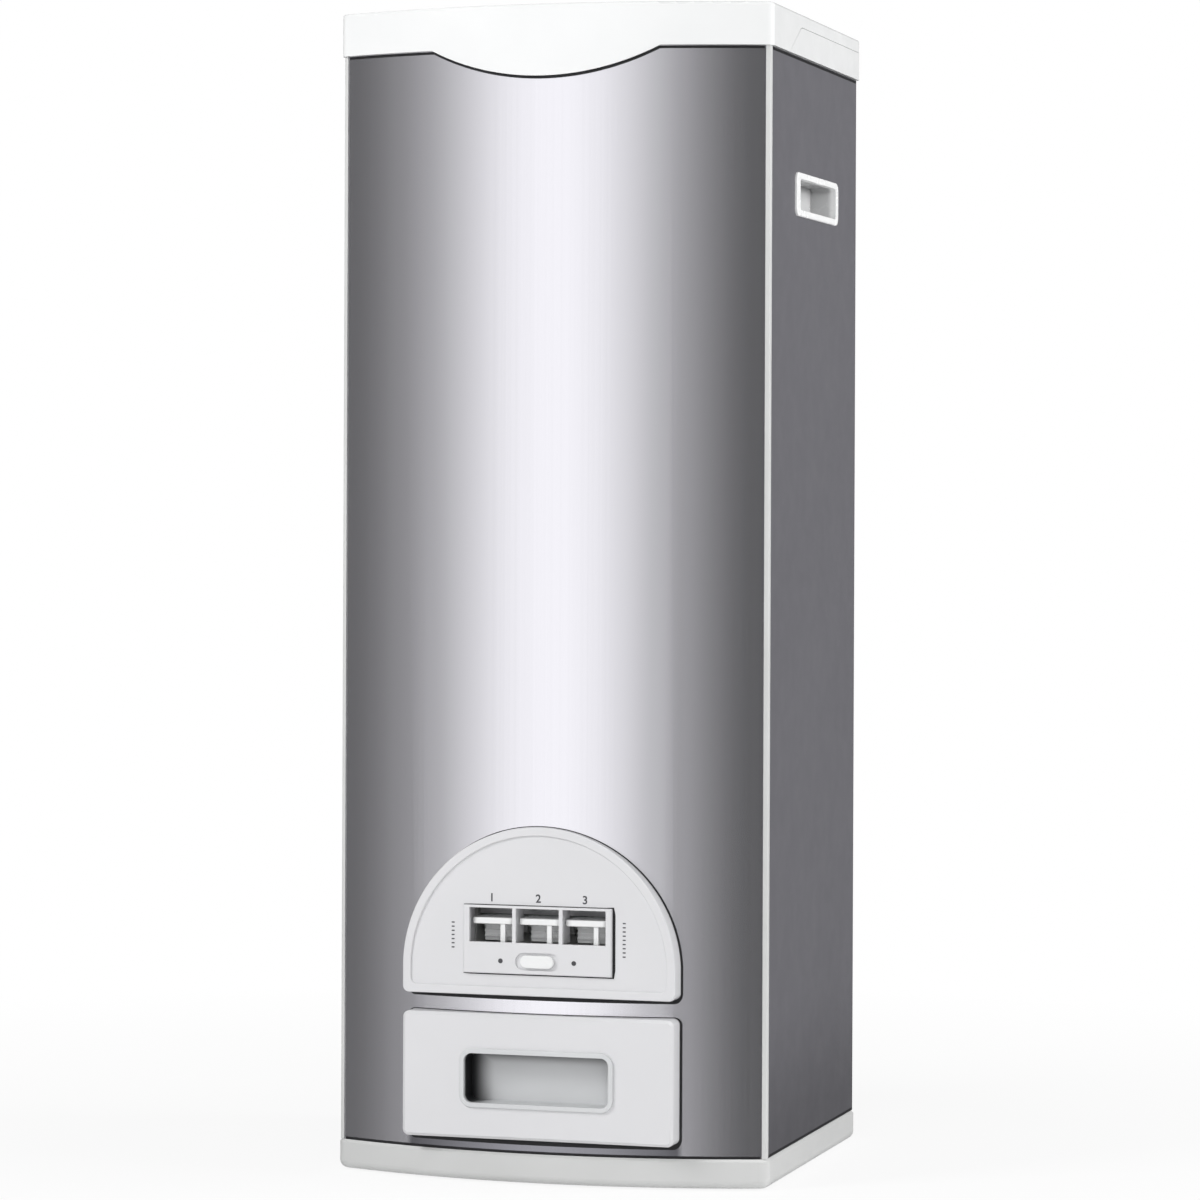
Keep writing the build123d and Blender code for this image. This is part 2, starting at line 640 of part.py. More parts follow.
with BuildPart() as lid_tongue:
    # curved flap of the lid's front, in front of the sheet
    extrude(
        bow_band(PANEL_TOP - TONGUE_DROP, LID_GAP, LID_LIP, -TONGUE_HALF, TONGUE_HALF),
        amount=TONGUE_DROP + COLLAR_HEIGHT,
    )
    with BuildSketch(front_plane(Y_CORNER)):
        with BuildLine():
            ThreePointArc(
                (-TONGUE_HALF, PANEL_TOP), (0, PANEL_TOP - TONGUE_DROP), (TONGUE_HALF, PANEL_TOP)
            )
            Polyline(
                (TONGUE_HALF, PANEL_TOP),
                (TONGUE_HALF, COLLAR_TOP),
                (-TONGUE_HALF, COLLAR_TOP),
                (-TONGUE_HALF, PANEL_TOP),
            )
        make_face()
    extrude(amount=CUT_REACH, mode=Mode.INTERSECT)

with BuildPart() as lid:
    extrude(
        body_outline(PANEL_TOP, LID_LIP, LID_CORNER, LID_BACK_CORNER), amount=LID_TOP - PANEL_TOP
    )
    fillet(lid.faces().sort_by(Axis.Z)[-1].outer_wire().edges(), LID_EDGE)
    extrude(
        body_outline(PANEL_TOP, LID_GAP, LID_CORNER - LID_WALL, LID_BACK_CORNER - LID_WALL),
        amount=LID_UNDER - PANEL_TOP,
        mode=Mode.SUBTRACT,
    )
    extrude(ramp_outline(0, 1), amount=BODY_WIDTH, both=True, mode=Mode.SUBTRACT)
    add(lid_tongue.part)
    # stiffening ribs under the plate, inside the filling mouth
    with BuildSketch(Plane.XY.offset(LID_UNDER - LID_RIB)):
        for rib_x in (-LID_RIB_PITCH, 0, LID_RIB_PITCH):
            with Locations((rib_x, MIDDLE_Y)):
                Rectangle(LID_RIB, SIDE_DEPTH - 2 * LID_RIB_MARGIN)
    extrude(amount=LID_RIB)
    for knuckle_x in COLLAR_KNUCKLE_XS:
        add(knuckle(knuckle_x, COLLAR_KNUCKLE + 2 * RUN, KNUCKLE_R + RUN), mode=Mode.SUBTRACT)
    for hinge_x in (-HINGE_X, HINGE_X):
        add(knuckle(hinge_x, LID_KNUCKLE, KNUCKLE_R))
        add(knuckle(hinge_x, LID_KNUCKLE + 2 * CUT_EXTRA, PIN_R + BORE_PLAY), mode=Mode.SUBTRACT)
lid.part.label = "lid"
export_step(lid.part, "parts/lid.step")

with BuildPart() as hinge_pins:
    for hinge_x in (-HINGE_X, HINGE_X):
        add(knuckle(hinge_x, HINGE_WIDTH, PIN_R))
hinge_pins.part.label = "hinge_pins"
export_step(hinge_pins.part, "parts/hinge_pins.step")


# ---------------------------------------------------------------- side handle cups
def handle_cup(side):
    """A recessed carrying handle: a bezel outside the sheet and a closed pocket inside it."""
    pocket = (SLEEVE_SIZE[0] - 2 * CUP_WALL, SLEEVE_SIZE[1] - 2 * CUP_WALL)
    with BuildPart() as cup:
        with BuildSketch(Plane.YZ.offset(side * HALF)):
            with Locations((CUP_Y, CUP_Z)):
                RectangleRounded(CUP_LENGTH, CUP_HEIGHT, CUP_CORNER + CUP_WALL)
        extrude(amount=side * CUP_PROUD)
        fillet(cup.faces().sort_by(Axis.X)[-1 if side > 0 else 0].edges(), CUP_PROUD / 2)
        with BuildSketch(Plane.YZ.offset(side * HALF)):
            with Locations((CUP_Y, CUP_Z)):
                RectangleRounded(*SLEEVE_SIZE, CUP_CORNER)
        extrude(amount=-side * CUP_DEPTH)
        with BuildSketch(Plane.YZ.offset(side * (HALF + CUP_PROUD))):
            with Locations((CUP_Y, CUP_Z)):
                RectangleRounded(*pocket, CUP_CORNER - CUP_WALL)
        extrude(amount=-side * (CUP_DEPTH + CUP_PROUD - CUP_WALL), mode=Mode.SUBTRACT)
    return cup


left_handle_cup = handle_cup(-1)
left_handle_cup.part.label = "left_handle_cup"
export_step(left_handle_cup.part, "parts/left_handle_cup.step")
right_handle_cup = handle_cup(1)
right_handle_cup.part.label = "right_handle_cup"
export_step(right_handle_cup.part, "parts/right_handle_cup.step")

# ---------------------------------------------------------------- drawer
FRONT_OUTER = RUN + DRAWER_FRONT_T
CUP_SLEEVE = (GRIP_WIDTH + 2 * GRIP_WALL, GRIP_HEIGHT + 2 * GRIP_WALL)
SKIRT_SIZE = (BOX_WIDTH - 2 * BOX_WALL, BOX_HEIGHT - 2 * BOX_WALL)
BOX_CENTRE_Z = BOX_Z + BOX_HEIGHT / 2

DRAWER_FACE_Y = Y_PEAK - FRONT_OUTER
DRAWER_PLATE_Y = DRAWER_FACE_Y + DRAWER_PLATE
DRAWER_CENTRE_Z = DRAWER_FRONT_Z + DRAWER_FRONT_HEIGHT / 2

with BuildPart() as drawer_skirt:
    # joins the front plate to the flat front wall of the box
    extrude(
        front_rectangle(BOX_FRONT_Y, BOX_CENTRE_Z, *SKIRT_SIZE, BOX_CORNER),
        amount=BOX_FRONT_Y - DRAWER_PLATE_Y,
    )
    extrude(
        front_rectangle(
            BOX_FRONT_Y,
            BOX_CENTRE_Z,
            SKIRT_SIZE[0] - 2 * SKIRT_WALL,
            SKIRT_SIZE[1] - 2 * SKIRT_WALL,
            BOX_CORNER - SKIRT_WALL,
        ),
        amount=BOX_FRONT_Y - DRAWER_PLATE_Y,
        mode=Mode.SUBTRACT,
    )

with BuildPart() as drawer_front:
    # a flat plate, with walls behind its edges that reach back to the bowed sheet
    extrude(
        front_rectangle(
            Y_CORNER, DRAWER_CENTRE_Z, DRAWER_FRONT_WIDTH, DRAWER_FRONT_HEIGHT, DRAWER_CORNER
        ),
        amount=Y_CORNER - DRAWER_FACE_Y,
    )
    chamfer(drawer_front.faces().sort_by(Axis.Y)[0].edges(), DRAWER_BEVEL)
    extrude(
        front_rectangle(
            Y_CORNER,
            DRAWER_CENTRE_Z,
            DRAWER_FRONT_WIDTH - 2 * DRAWER_WALL,
            DRAWER_FRONT_HEIGHT - 2 * DRAWER_WALL,
            DRAWER_CORNER - DRAWER_WALL,
        ),
        amount=Y_CORNER - DRAWER_PLATE_Y,
        mode=Mode.SUBTRACT,
    )
    extrude(body_outline(0, RUN), amount=LID_TOP, mode=Mode.SUBTRACT)
    add(drawer_skirt.part)
    extrude(
        front_rectangle(
            BOX_FRONT_Y,
            GRIP_Z,
            CUP_SLEEVE[0] + 2 * FIT,
            CUP_SLEEVE[1] + 2 * FIT,
            GRIP_CORNER + GRIP_WALL + FIT,
        ),
        amount=CUT_REACH,
        mode=Mode.SUBTRACT,
    )
drawer_front.part.label = "drawer_front"
export_step(drawer_front.part, "parts/drawer_front.step")

GRIP_BACK_Y = DRAWER_FACE_Y + GRIP_DEPTH

with BuildPart() as grip_cup:
    extrude(
        front_rectangle(
            DRAWER_FACE_Y,
            GRIP_Z,
            GRIP_WIDTH + 2 * GRIP_RIM,
            GRIP_HEIGHT + 2 * GRIP_RIM,
            GRIP_CORNER + GRIP_RIM,
        ),
        amount=GRIP_RIM_PROUD,
    )
    fillet(grip_cup.faces().sort_by(Axis.Y)[0].edges(), GRIP_RIM_ROUND)
    extrude(
        front_rectangle(GRIP_BACK_Y, GRIP_Z, *CUP_SLEEVE, GRIP_CORNER + GRIP_WALL),
        amount=GRIP_DEPTH,
    )
    extrude(
        front_rectangle(GRIP_BACK_Y - GRIP_WALL, GRIP_Z, GRIP_WIDTH, GRIP_HEIGHT, GRIP_CORNER),
        amount=CUT_REACH,
        mode=Mode.SUBTRACT,
    )
grip_cup.part.label = "grip_cup"
export_step(grip_cup.part, "parts/grip_cup.step")

with BuildPart() as drawer_box:
    box_middle_y = BOX_FRONT_Y + BOX_DEPTH / 2
    with BuildSketch(Plane.XY.offset(BOX_Z)):
        with Locations((0, box_middle_y)):
            RectangleRounded(BOX_WIDTH, BOX_DEPTH, BOX_CORNER)
    extrude(amount=BOX_HEIGHT)
    with BuildSketch(Plane.XY.offset(BOX_Z + BOX_WALL)):
        with Locations((0, box_middle_y)):
            RectangleRounded(BOX_WIDTH - 2 * BOX_WALL, BOX_DEPTH - 2 * BOX_WALL, BOX_CORNER - BOX_WALL)
    extrude(amount=BOX_HEIGHT - BOX_WALL, mode=Mode.SUBTRACT)
    # side ribs that run under the lips of the runners
    with BuildSketch(Plane.XY.offset(RIB_TOP - BOX_RIB_T)):
        for side in (-1, 1):
            with Locations((side * (BOX_WIDTH + BOX_RIB) / 2, box_middle_y)):
                Rectangle(BOX_RIB, BOX_DEPTH - 2 * BOX_CORNER)
    extrude(amount=BOX_RIB_T)
drawer_box.part.label = "drawer_box"
export_step(drawer_box.part, "parts/drawer_box.step")

RUNNER_INNER = OPENING_HALF
RUNNER_LIP_Z = RIB_TOP + RUN


def drawer_runner(side):
    """A moulded guide on the base: shelf under the box, wall beside it, lip over its rib."""
    wall = RUNNER_INNER + RUNNER_WALL
    shelf = RUNNER_INNER - RUNNER_SHELF
    lip = BOX_WIDTH / 2 + RUN
    head = RUNNER_LIP_Z + RUNNER_LIP
    with BuildPart() as runner:
        with BuildSketch(front_plane(BOX_FRONT_Y + BOX_DEPTH)):
            with BuildLine():
                Polyline(
                    (side * (wall + RUNNER_FOOT), BASE_TOP),
                    (side * (wall + RUNNER_FOOT), BASE_TOP + RUNNER_WALL),
                    (side * wall, BASE_TOP + RUNNER_WALL),
                    (side * wall, head),
                    (side * lip, head),
                    (side * lip, RUNNER_LIP_Z),
                    (side * RUNNER_INNER, RUNNER_LIP_Z),
                    (side * RUNNER_INNER, RUNNER_TOP),
                    (side * shelf, RUNNER_TOP),
                    (side * shelf, RUNNER_TOP - RUNNER_WALL),
                    (side * RUNNER_INNER, RUNNER_TOP - RUNNER_WALL),
                    (side * RUNNER_INNER, BASE_TOP),
                    (side * (wall + RUNNER_FOOT), BASE_TOP),
                )
            make_face()
        extrude(amount=BOX_DEPTH - RUNNER_FOOT)
    return runner


left_runner = drawer_runner(-1)
left_runner.part.label = "left_runner"
export_step(left_runner.part, "parts/left_runner.step")
right_runner = drawer_runner(1)
right_runner.part.label = "right_runner"
export_step(right_runner.part, "parts/right_runner.step")

# ---------------------------------------------------------------- control bezel
DOME_FACE_Y = Y_PEAK - DOME_FACE

with BuildPart() as control_bezel:
    # a flat arched plate with a raised rim, and walls that reach back to the bowed sheet
    extrude(dome_outline(Y_CORNER), amount=Y_CORNER - DOME_FACE_Y + DOME_RIM_PROUD)
    extrude(dome_outline(DOME_FACE_Y, DOME_RIM), amount=DOME_RIM_PROUD, mode=Mode.SUBTRACT)
    fillet(control_bezel.faces().sort_by(Axis.Y)[0].edges(), DOME_RIM_ROUND)
    extrude(
        dome_outline(Y_CORNER, DOME_WALL), amount=Y_CORNER - DOME_FACE_Y - DOME_PLATE, mode=Mode.SUBTRACT
    )
    extrude(body_outline(0, FIT), amount=LID_TOP, mode=Mode.SUBTRACT)
    extrude(
        front_rectangle(Y_CORNER, INSERT_CENTRE_Z, INSERT_WIDTH + 2 * FIT, INSERT_HEIGHT + 2 * FIT),
        amount=CUT_REACH,
        mode=Mode.SUBTRACT,
    )
control_bezel.part.label = "control_bezel"
export_step(control_bezel.part, "parts/control_bezel.step")

# ---------------------------------------------------------------- window insert
PLATE_BACK_Y = INSERT_Y + INSERT_PLATE
BLOCK_BACK_Y = INSERT_Y + INSERT_DEPTH
WINDOW_CENTRE_Z = WINDOW_Z + WINDOW_HEIGHT / 2
HOOD_HALF = HOUSING_HALF - HOOD_INSET
HOOD_BACK_Y = INSERT_Y + HOOD_DEPTH
INSERT_TOP = INSERT_Z + INSERT_HEIGHT
CEILING_Z = WINDOW_Z + WINDOW_HEIGHT
HOOD_FOOT = ARM_HIGH + RUN

with BuildPart() as window_insert:
    extrude(
        front_rectangle(PLATE_BACK_Y, INSERT_CENTRE_Z, INSERT_WIDTH, INSERT_HEIGHT), amount=INSERT_PLATE
    )
    chamfer(window_insert.faces().sort_by(Axis.Y)[0].edges(), INSERT_EDGE)
    # walls round the block, behind the plate
    extrude(
        front_rectangle(BLOCK_BACK_Y, INSERT_CENTRE_Z, INSERT_WIDTH, INSERT_HEIGHT),
        amount=INSERT_DEPTH - INSERT_PLATE,
    )
    extrude(
        front_rectangle(
            BLOCK_BACK_Y,
            (INSERT_Z + INSERT_WALL + CEILING_Z) / 2,
            INSERT_WIDTH - 2 * INSERT_WALL,
            CEILING_Z - INSERT_Z - INSERT_WALL,
        ),
        amount=INSERT_DEPTH - INSERT_PLATE,
        mode=Mode.SUBTRACT,
    )
    # hood over the levers, closed at the back above their arms
    extrude(
        front_rectangle(HOOD_BACK_Y, (CEILING_Z + INSERT_TOP) / 2, 2 * HOOD_HALF, INSERT_TOP - CEILING_Z),
        amount=HOOD_BACK_Y - PLATE_BACK_Y,
    )
    extrude(
        front_rectangle(HOOD_BACK_Y, (CEILING_Z + HOOD_FOOT) / 2, 2 * HOOD_HALF, CEILING_Z - HOOD_FOOT),
        amount=INSERT_WALL,
    )
    # partitions between the levers
    for gap in range(LEVER_COUNT - 1):
        partition_x = (LEVER_XS[gap] + LEVER_XS[gap + 1]) / 2
        extrude(
            front_rectangle(
                BLOCK_BACK_Y,
                WINDOW_CENTRE_Z,
                PARTITION,
                WINDOW_HEIGHT,
                centre_x=partition_x,
            ),
            amount=INSERT_DEPTH - INSERT_PLATE,
        )
    for lever_x in LEVER_XS:
        extrude(
            front_rectangle(PLATE_BACK_Y, WINDOW_CENTRE_Z, WINDOW_WIDTH, WINDOW_HEIGHT, centre_x=lever_x),
            amount=INSERT_PLATE,
            mode=Mode.SUBTRACT,
        )
    # oval recess of the switch and the slot for its stem
    extrude(
        front_oval(INSERT_Y + SWITCH_RECESS, SWITCH_Z, SWITCH_SLOT),
        amount=SWITCH_RECESS,
        mode=Mode.SUBTRACT,
    )
    extrude(
        front_rectangle(
            PLATE_BACK_Y, SWITCH_Z, STEM_SIZE[0] + 2 * (LOCK_TRAVEL + RUN), STEM_SIZE[1] + 2 * RUN
        ),
        amount=INSERT_PLATE,
        mode=Mode.SUBTRACT,
    )
window_insert.part.label = "window_insert"
export_step(window_insert.part, "parts/window_insert.step")

# ---------------------------------------------------------------- lock switch
LOCK_Y = PLATE_BACK_Y + RUN
FINGER_X = TAB_X + TAB_WIDTH / 2 + FINGER_GAP + LOCK_FINGER / 2

with BuildPart() as slide_knob:
    knob_back = INSERT_Y + SWITCH_RECESS - RUN
    extrude(front_oval(knob_back, SWITCH_Z, KNOB_SIZE), amount=knob_back - INSERT_Y + KNOB_PROUD)
    fillet(slide_knob.faces().sort_by(Axis.Y)[0].edges(), KNOB_PROUD / 2)
    extrude(front_rectangle(LOCK_Y, SWITCH_Z, *STEM_SIZE), amount=LOCK_Y - knob_back)
slide_knob.part.label = "slide_knob"
export_step(slide_knob.part, "parts/slide_knob.step")

with BuildPart() as lock_bar:
    bar_low = SWITCH_Z - LOCK_BAR_HEIGHT / 2
    bar_left = LEVER_XS[0] + FINGER_X - LOCK_FINGER
    bar_right = LEVER_XS[-1] + FINGER_X + LOCK_FINGER / 2
    extrude(
        front_rectangle(
            LOCK_Y + LOCK_BAR_T,
            SWITCH_Z,
            bar_right - bar_left,
            LOCK_BAR_HEIGHT,
            centre_x=(bar_left + bar_right) / 2,
        ),
        amount=LOCK_BAR_T,
    )
    # one finger for each lever, which stands under its tab when locked
    for lever_x in LEVER_XS:
        extrude(
            front_rectangle(
                LOCK_Y + LOCK_FINGER_REACH,
                (bar_low + LOCK_TOP) / 2,
                LOCK_FINGER,
                LOCK_TOP - bar_low,
                centre_x=lever_x + FINGER_X,
            ),
            amount=LOCK_FINGER_REACH,
        )
lock_bar.part.label = "lock_bar"
export_step(lock_bar.part, "parts/lock_bar.step")

# ---------------------------------------------------------------- levers
LIP_Y = SHAFT_Y - LIP_REACH
STEP_Y = LIP_Y + STEP_SETBACK


def lever(x):
    """A push lever: lip and arm, ribbed step, locking tab, hub and the arm that moves a gate."""
    left = x - LEVER_WIDTH / 2
    with BuildPart() as piece:
        # lip with a deeper nose, and the hub on the shaft
        with BuildSketch(Plane.YZ.offset(left)):
            with BuildLine():
                Polyline(
                    (LIP_Y, ARM_HIGH),
                    (LIP_Y, ARM_HIGH - LIP_NOSE),
                    (LIP_Y + LIP_NOSE, ARM_HIGH - LIP_NOSE),
                    (LIP_Y + LIP_NOSE, ARM_LOW),
                    (SHAFT_Y, ARM_LOW),
                    (SHAFT_Y, ARM_HIGH),
                    (LIP_Y, ARM_HIGH),
                )
            make_face()
            with Locations((SHAFT_Y, SHAFT_Z)):
                Circle(HUB_R)
        extrude(amount=LEVER_WIDTH)
        nose = piece.faces().sort_by(Axis.Y)[0]
        fillet(nose.edges().filter_by(Axis.Z), LIP_CORNER)
        nose = piece.faces().sort_by(Axis.Y)[0]
        fillet(nose.edges().filter_by(Axis.X), LIP_ROUND)
        # step with ribs across it
        with BuildSketch(Plane.YZ.offset(left + STEP_INSET)):
            with Locations((STEP_Y + STEP_T / 2, (TAB_FOOT + ARM_LOW) / 2)):
                Rectangle(STEP_T, ARM_LOW - TAB_FOOT)
            for rib in range(STEP_RIBS):
                with Locations((STEP_Y - STEP_RIB / 2, ARM_LOW - (rib + 1) * STEP_RIB_PITCH)):
                    Rectangle(STEP_RIB, STEP_RIB)
        extrude(amount=LEVER_WIDTH - STEP_INSET)
        extrude(
            front_rectangle(
                LIP_Y + TAB_SETBACK + TAB_DEPTH,
                (TAB_FOOT + ARM_LOW) / 2,
                TAB_WIDTH,
                ARM_LOW - TAB_FOOT,
                centre_x=x + TAB_X,
            ),
            amount=TAB_DEPTH,
        )
        # arm that reaches down between the prongs of a gate
        with BuildSketch(Plane.YZ.offset(x - ARM_WIDTH / 2)):
            with BuildLine():
                Polyline(
                    (SHAFT_Y - ARM_T / 2, SHAFT_Z),
                    (TIP_Y - ARM_T / 2, SHAFT_Z - TIP_DOWN),
                    (TIP_Y + ARM_T / 2, SHAFT_Z - TIP_DOWN),
                    (SHAFT_Y + ARM_T / 2, SHAFT_Z),
                    (SHAFT_Y - ARM_T / 2, SHAFT_Z),
                )
            make_face()
            with Locations((TIP_Y, SHAFT_Z - TIP_DOWN)):
                Circle(ARM_TIP_R)
        extrude(amount=ARM_WIDTH)
        with BuildSketch(Plane.YZ.offset(left)):
            with Locations((SHAFT_Y, SHAFT_Z)):
                Circle(SHAFT_R + BORE_PLAY)
        extrude(amount=LEVER_WIDTH, mode=Mode.SUBTRACT)
    return piece


for number, lever_x in enumerate(LEVER_XS, start=1):
    push_lever = lever(lever_x)
    push_lever.part.label = f"lever_{number}"
    export_step(push_lever.part, f"parts/lever_{number}.step")

with BuildPart() as lever_shaft:
    shaft_half = HOUSING_HALF + EAR_T + 2 * FIT
    with BuildSketch(Plane.YZ.offset(-shaft_half)):
        with Locations((SHAFT_Y, SHAFT_Z)):
            Circle(SHAFT_R)
    extrude(amount=2 * shaft_half)
    chamfer(lever_shaft.edges().filter_by(GeomType.CIRCLE), SHAFT_EDGE)
lever_shaft.part.label = "lever_shaft"
export_step(lever_shaft.part, "parts/lever_shaft.step")


# ---------------------------------------------------------------- return springs
def return_spring(x):
    """A compression spring between the shelf of the housing and the underside of a lever."""
    height = ARM_LOW - SHELF_TOP - SPRING_WIRE
    with BuildPart() as spring:
        with BuildLine() as coil:
            Helix(
                pitch=height / SPRING_TURNS,
                height=height,
                radius=SPRING_R,
                center=(x, SPRING_Y, SHELF_TOP + SPRING_WIRE / 2),
            )
        with BuildSketch(Plane(coil.edge() @ 0, z_dir=coil.edge() % 0)):
            Rectangle(SPRING_WIRE, SPRING_WIRE)
        sweep()
    return spring


for number, lever_x in enumerate(LEVER_XS, start=1):
    coil_spring = return_spring(lever_x)
    coil_spring.part.label = f"return_spring_{number}"
    export_step(coil_spring.part, f"parts/return_spring_{number}.step")


# ---------------------------------------------------------------- metering gates
def gate(x):
    """A sliding frame: the upper plate shuts the chamber's inlet as the lower one opens its outlet."""
    lower_back = PORT_Y + PORT_LENGTH + GATE_LAP
    lower_front = TIP_Y - ARM_TIP_R - RUN - PRONG_T
    upper_back = PORT_Y - PORT_MARGIN
    with BuildPart() as frame:
        with BuildSketch(Plane.XY.offset(GATE_PLATE_Z)):
            with Locations((x, (lower_front + lower_back) / 2)):
                Rectangle(GATE_WIDTH, lower_back - lower_front)
            with Locations((x, PORT_Y + PORT_LENGTH / 2 - GATE_TRAVEL)):
                Rectangle(GATE_WIDTH - 2 * HOUSING_WALL, PORT_LENGTH, mode=Mode.SUBTRACT)
        extrude(amount=GATE_T)
        with BuildSketch(Plane.XY.offset(GATE_PLATE_Z)):
            with Locations((x, RISER_Y + GATE_T / 2)):
                Rectangle(GATE_RISER_WIDTH, GATE_T)
        extrude(amount=GATE_TOP_Z - GATE_PLATE_Z + GATE_T)
        with BuildSketch(Plane.XY.offset(GATE_TOP_Z)):
            with Locations((x, (RISER_Y + upper_back) / 2)):
                Rectangle(GATE_WIDTH, upper_back - RISER_Y)
        extrude(amount=GATE_T)
        # prongs before and behind the tip of the lever's arm
        with BuildSketch(Plane.XY.offset(GATE_PLATE_Z + GATE_T)):
            for side in (-1, 1):
                with Locations((x, TIP_Y + side * (ARM_TIP_R + RUN + PRONG_T / 2))):
                    Rectangle(ARM_WIDTH + 2 * PRONG_T, PRONG_T)
        extrude(amount=PRONG_HEIGHT)
    return frame


for number, lever_x in enumerate(LEVER_XS, start=1):
    slide_gate = gate(lever_x)
    slide_gate.part.label = f"gate_{number}"
    export_step(slide_gate.part, f"parts/gate_{number}.step")

# ---------------------------------------------------------------- metering housing
HOUSING_MIDDLE_Y = (HOUSING_Y + HOUSING_BACK) / 2
CHAMBER_WIDTH = GATE_WIDTH - 2 * HOUSING_WALL
GUIDE_XS = [(n - LEVER_COUNT / 2) * LEVER_PITCH for n in range(1, LEVER_COUNT)]
GUIDE_WIDTH = LEVER_PITCH - GATE_WIDTH - 2 * RUN
EAR_FRONT_Y = SPRING_Y - SPRING_R - SHELF_MARGIN
SHELF_BACK_Y = SPRING_Y + SPRING_R + SPRING_WIRE
EAR_TOP = SHAFT_Z + EAR_HEAD

with BuildPart() as metering_housing:
    # the block of chambers, with guides above and below it for the gates
    with BuildSketch(Plane.XY.offset(HOUSING_Z)):
        with Locations((0, HOUSING_MIDDLE_Y)):
            Rectangle(2 * HOUSING_HALF, HOUSING_DEPTH)
    extrude(amount=HOUSING_TOP - HOUSING_Z)
    with BuildSketch(Plane.XY.offset(CHUTE_TOP)):
        for guide_x in GUIDE_XS:
            with Locations((guide_x, HOUSING_MIDDLE_Y)):
                Rectangle(GUIDE_WIDTH, HOUSING_DEPTH)
        for side in (-1, 1):
            with Locations((side * (HOUSING_HALF - HOUSING_SIDE / 2), HOUSING_MIDDLE_Y)):
                Rectangle(HOUSING_SIDE, HOUSING_DEPTH)
    extrude(amount=THROAT_Z - FIT - CHUTE_TOP)
    # ears that carry the lever shaft, and the shelf of the springs between them
    for side in (-1, 1):
        with BuildSketch(Plane.YZ.offset(side * HOUSING_HALF)):
            with BuildLine():
                Polyline(
                    (EAR_FRONT_Y, SHELF_TOP - SHELF_T),
                    (EAR_FRONT_Y, SHELF_TOP),
                    (SHAFT_Y - EAR_HEAD, EAR_TOP),
                    (HOUSING_Y + EAR_LAP, EAR_TOP),
                    (HOUSING_Y + EAR_LAP, SHELF_TOP - SHELF_T),
                    (EAR_FRONT_Y, SHELF_TOP - SHELF_T),
                )
            make_face()
        extrude(amount=side * EAR_T)
    with BuildSketch(Plane.XY.offset(SHELF_TOP - SHELF_T)):
        with Locations((0, (EAR_FRONT_Y + SHELF_BACK_Y) / 2)):
            Rectangle(2 * HOUSING_HALF, SHELF_BACK_Y - EAR_FRONT_Y)
    extrude(amount=SHELF_T)
    with BuildSketch(Plane.XY.offset(SHELF_TOP)):
        with Locations(*[(x, SPRING_Y) for x in LEVER_XS]):
            Circle(SPRING_R - SPRING_WIRE)
    extrude(amount=SPRING_PEG_H)
    with BuildSketch(Plane.YZ.offset(-HOUSING_HALF - EAR_T)):
        with Locations((SHAFT_Y, SHAFT_Z)):
            Circle(SHAFT_R + BORE_PLAY)
    extrude(amount=2 * (HOUSING_HALF + EAR_T), mode=Mode.SUBTRACT)
    # chambers, each drawn in to a port at its top and its bottom
    for lever_x in LEVER_XS:
        with BuildSketch(Plane.XY.offset(HOUSING_Z + PORT_CONE)):
            with Locations((lever_x, HOUSING_MIDDLE_Y)):
                Rectangle(CHAMBER_WIDTH, HOUSING_DEPTH - 2 * HOUSING_WALL)
        extrude(amount=HOUSING_TOP - HOUSING_Z - PORT_CONE - HOUSING_WALL, mode=Mode.SUBTRACT)
        with BuildSketch(Plane.XY.offset(HOUSING_Z + PORT_CONE)):
            with Locations((lever_x, HOUSING_MIDDLE_Y)):
                Rectangle(CHAMBER_WIDTH, HOUSING_DEPTH - 2 * HOUSING_WALL)
        with BuildSketch(Plane.XY.offset(HOUSING_Z)):
            with Locations((lever_x, PORT_Y + PORT_LENGTH / 2)):
                Rectangle(CHAMBER_WIDTH, PORT_LENGTH)
        loft(mode=Mode.SUBTRACT)
        with BuildSketch(Plane.XY.offset(HOUSING_TOP - HOUSING_WALL)):
            with Locations((lever_x, PORT_Y + PORT_LENGTH / 2)):
                Rectangle(CHAMBER_WIDTH, PORT_LENGTH)
        extrude(amount=HOUSING_WALL, mode=Mode.SUBTRACT)
metering_housing.part.label = "metering_housing"
export_step(metering_housing.part, "parts/metering_housing.step")

# ---------------------------------------------------------------- chute and deck
PORTS_WIDTH = (LEVER_COUNT - 1) * LEVER_PITCH + CHAMBER_WIDTH
PORT_MIDDLE_Y = PORT_Y + PORT_LENGTH / 2
NOZZLE = (PORTS_WIDTH + 2 * CHUTE_WALL, PORT_LENGTH + 2 * CHUTE_WALL)

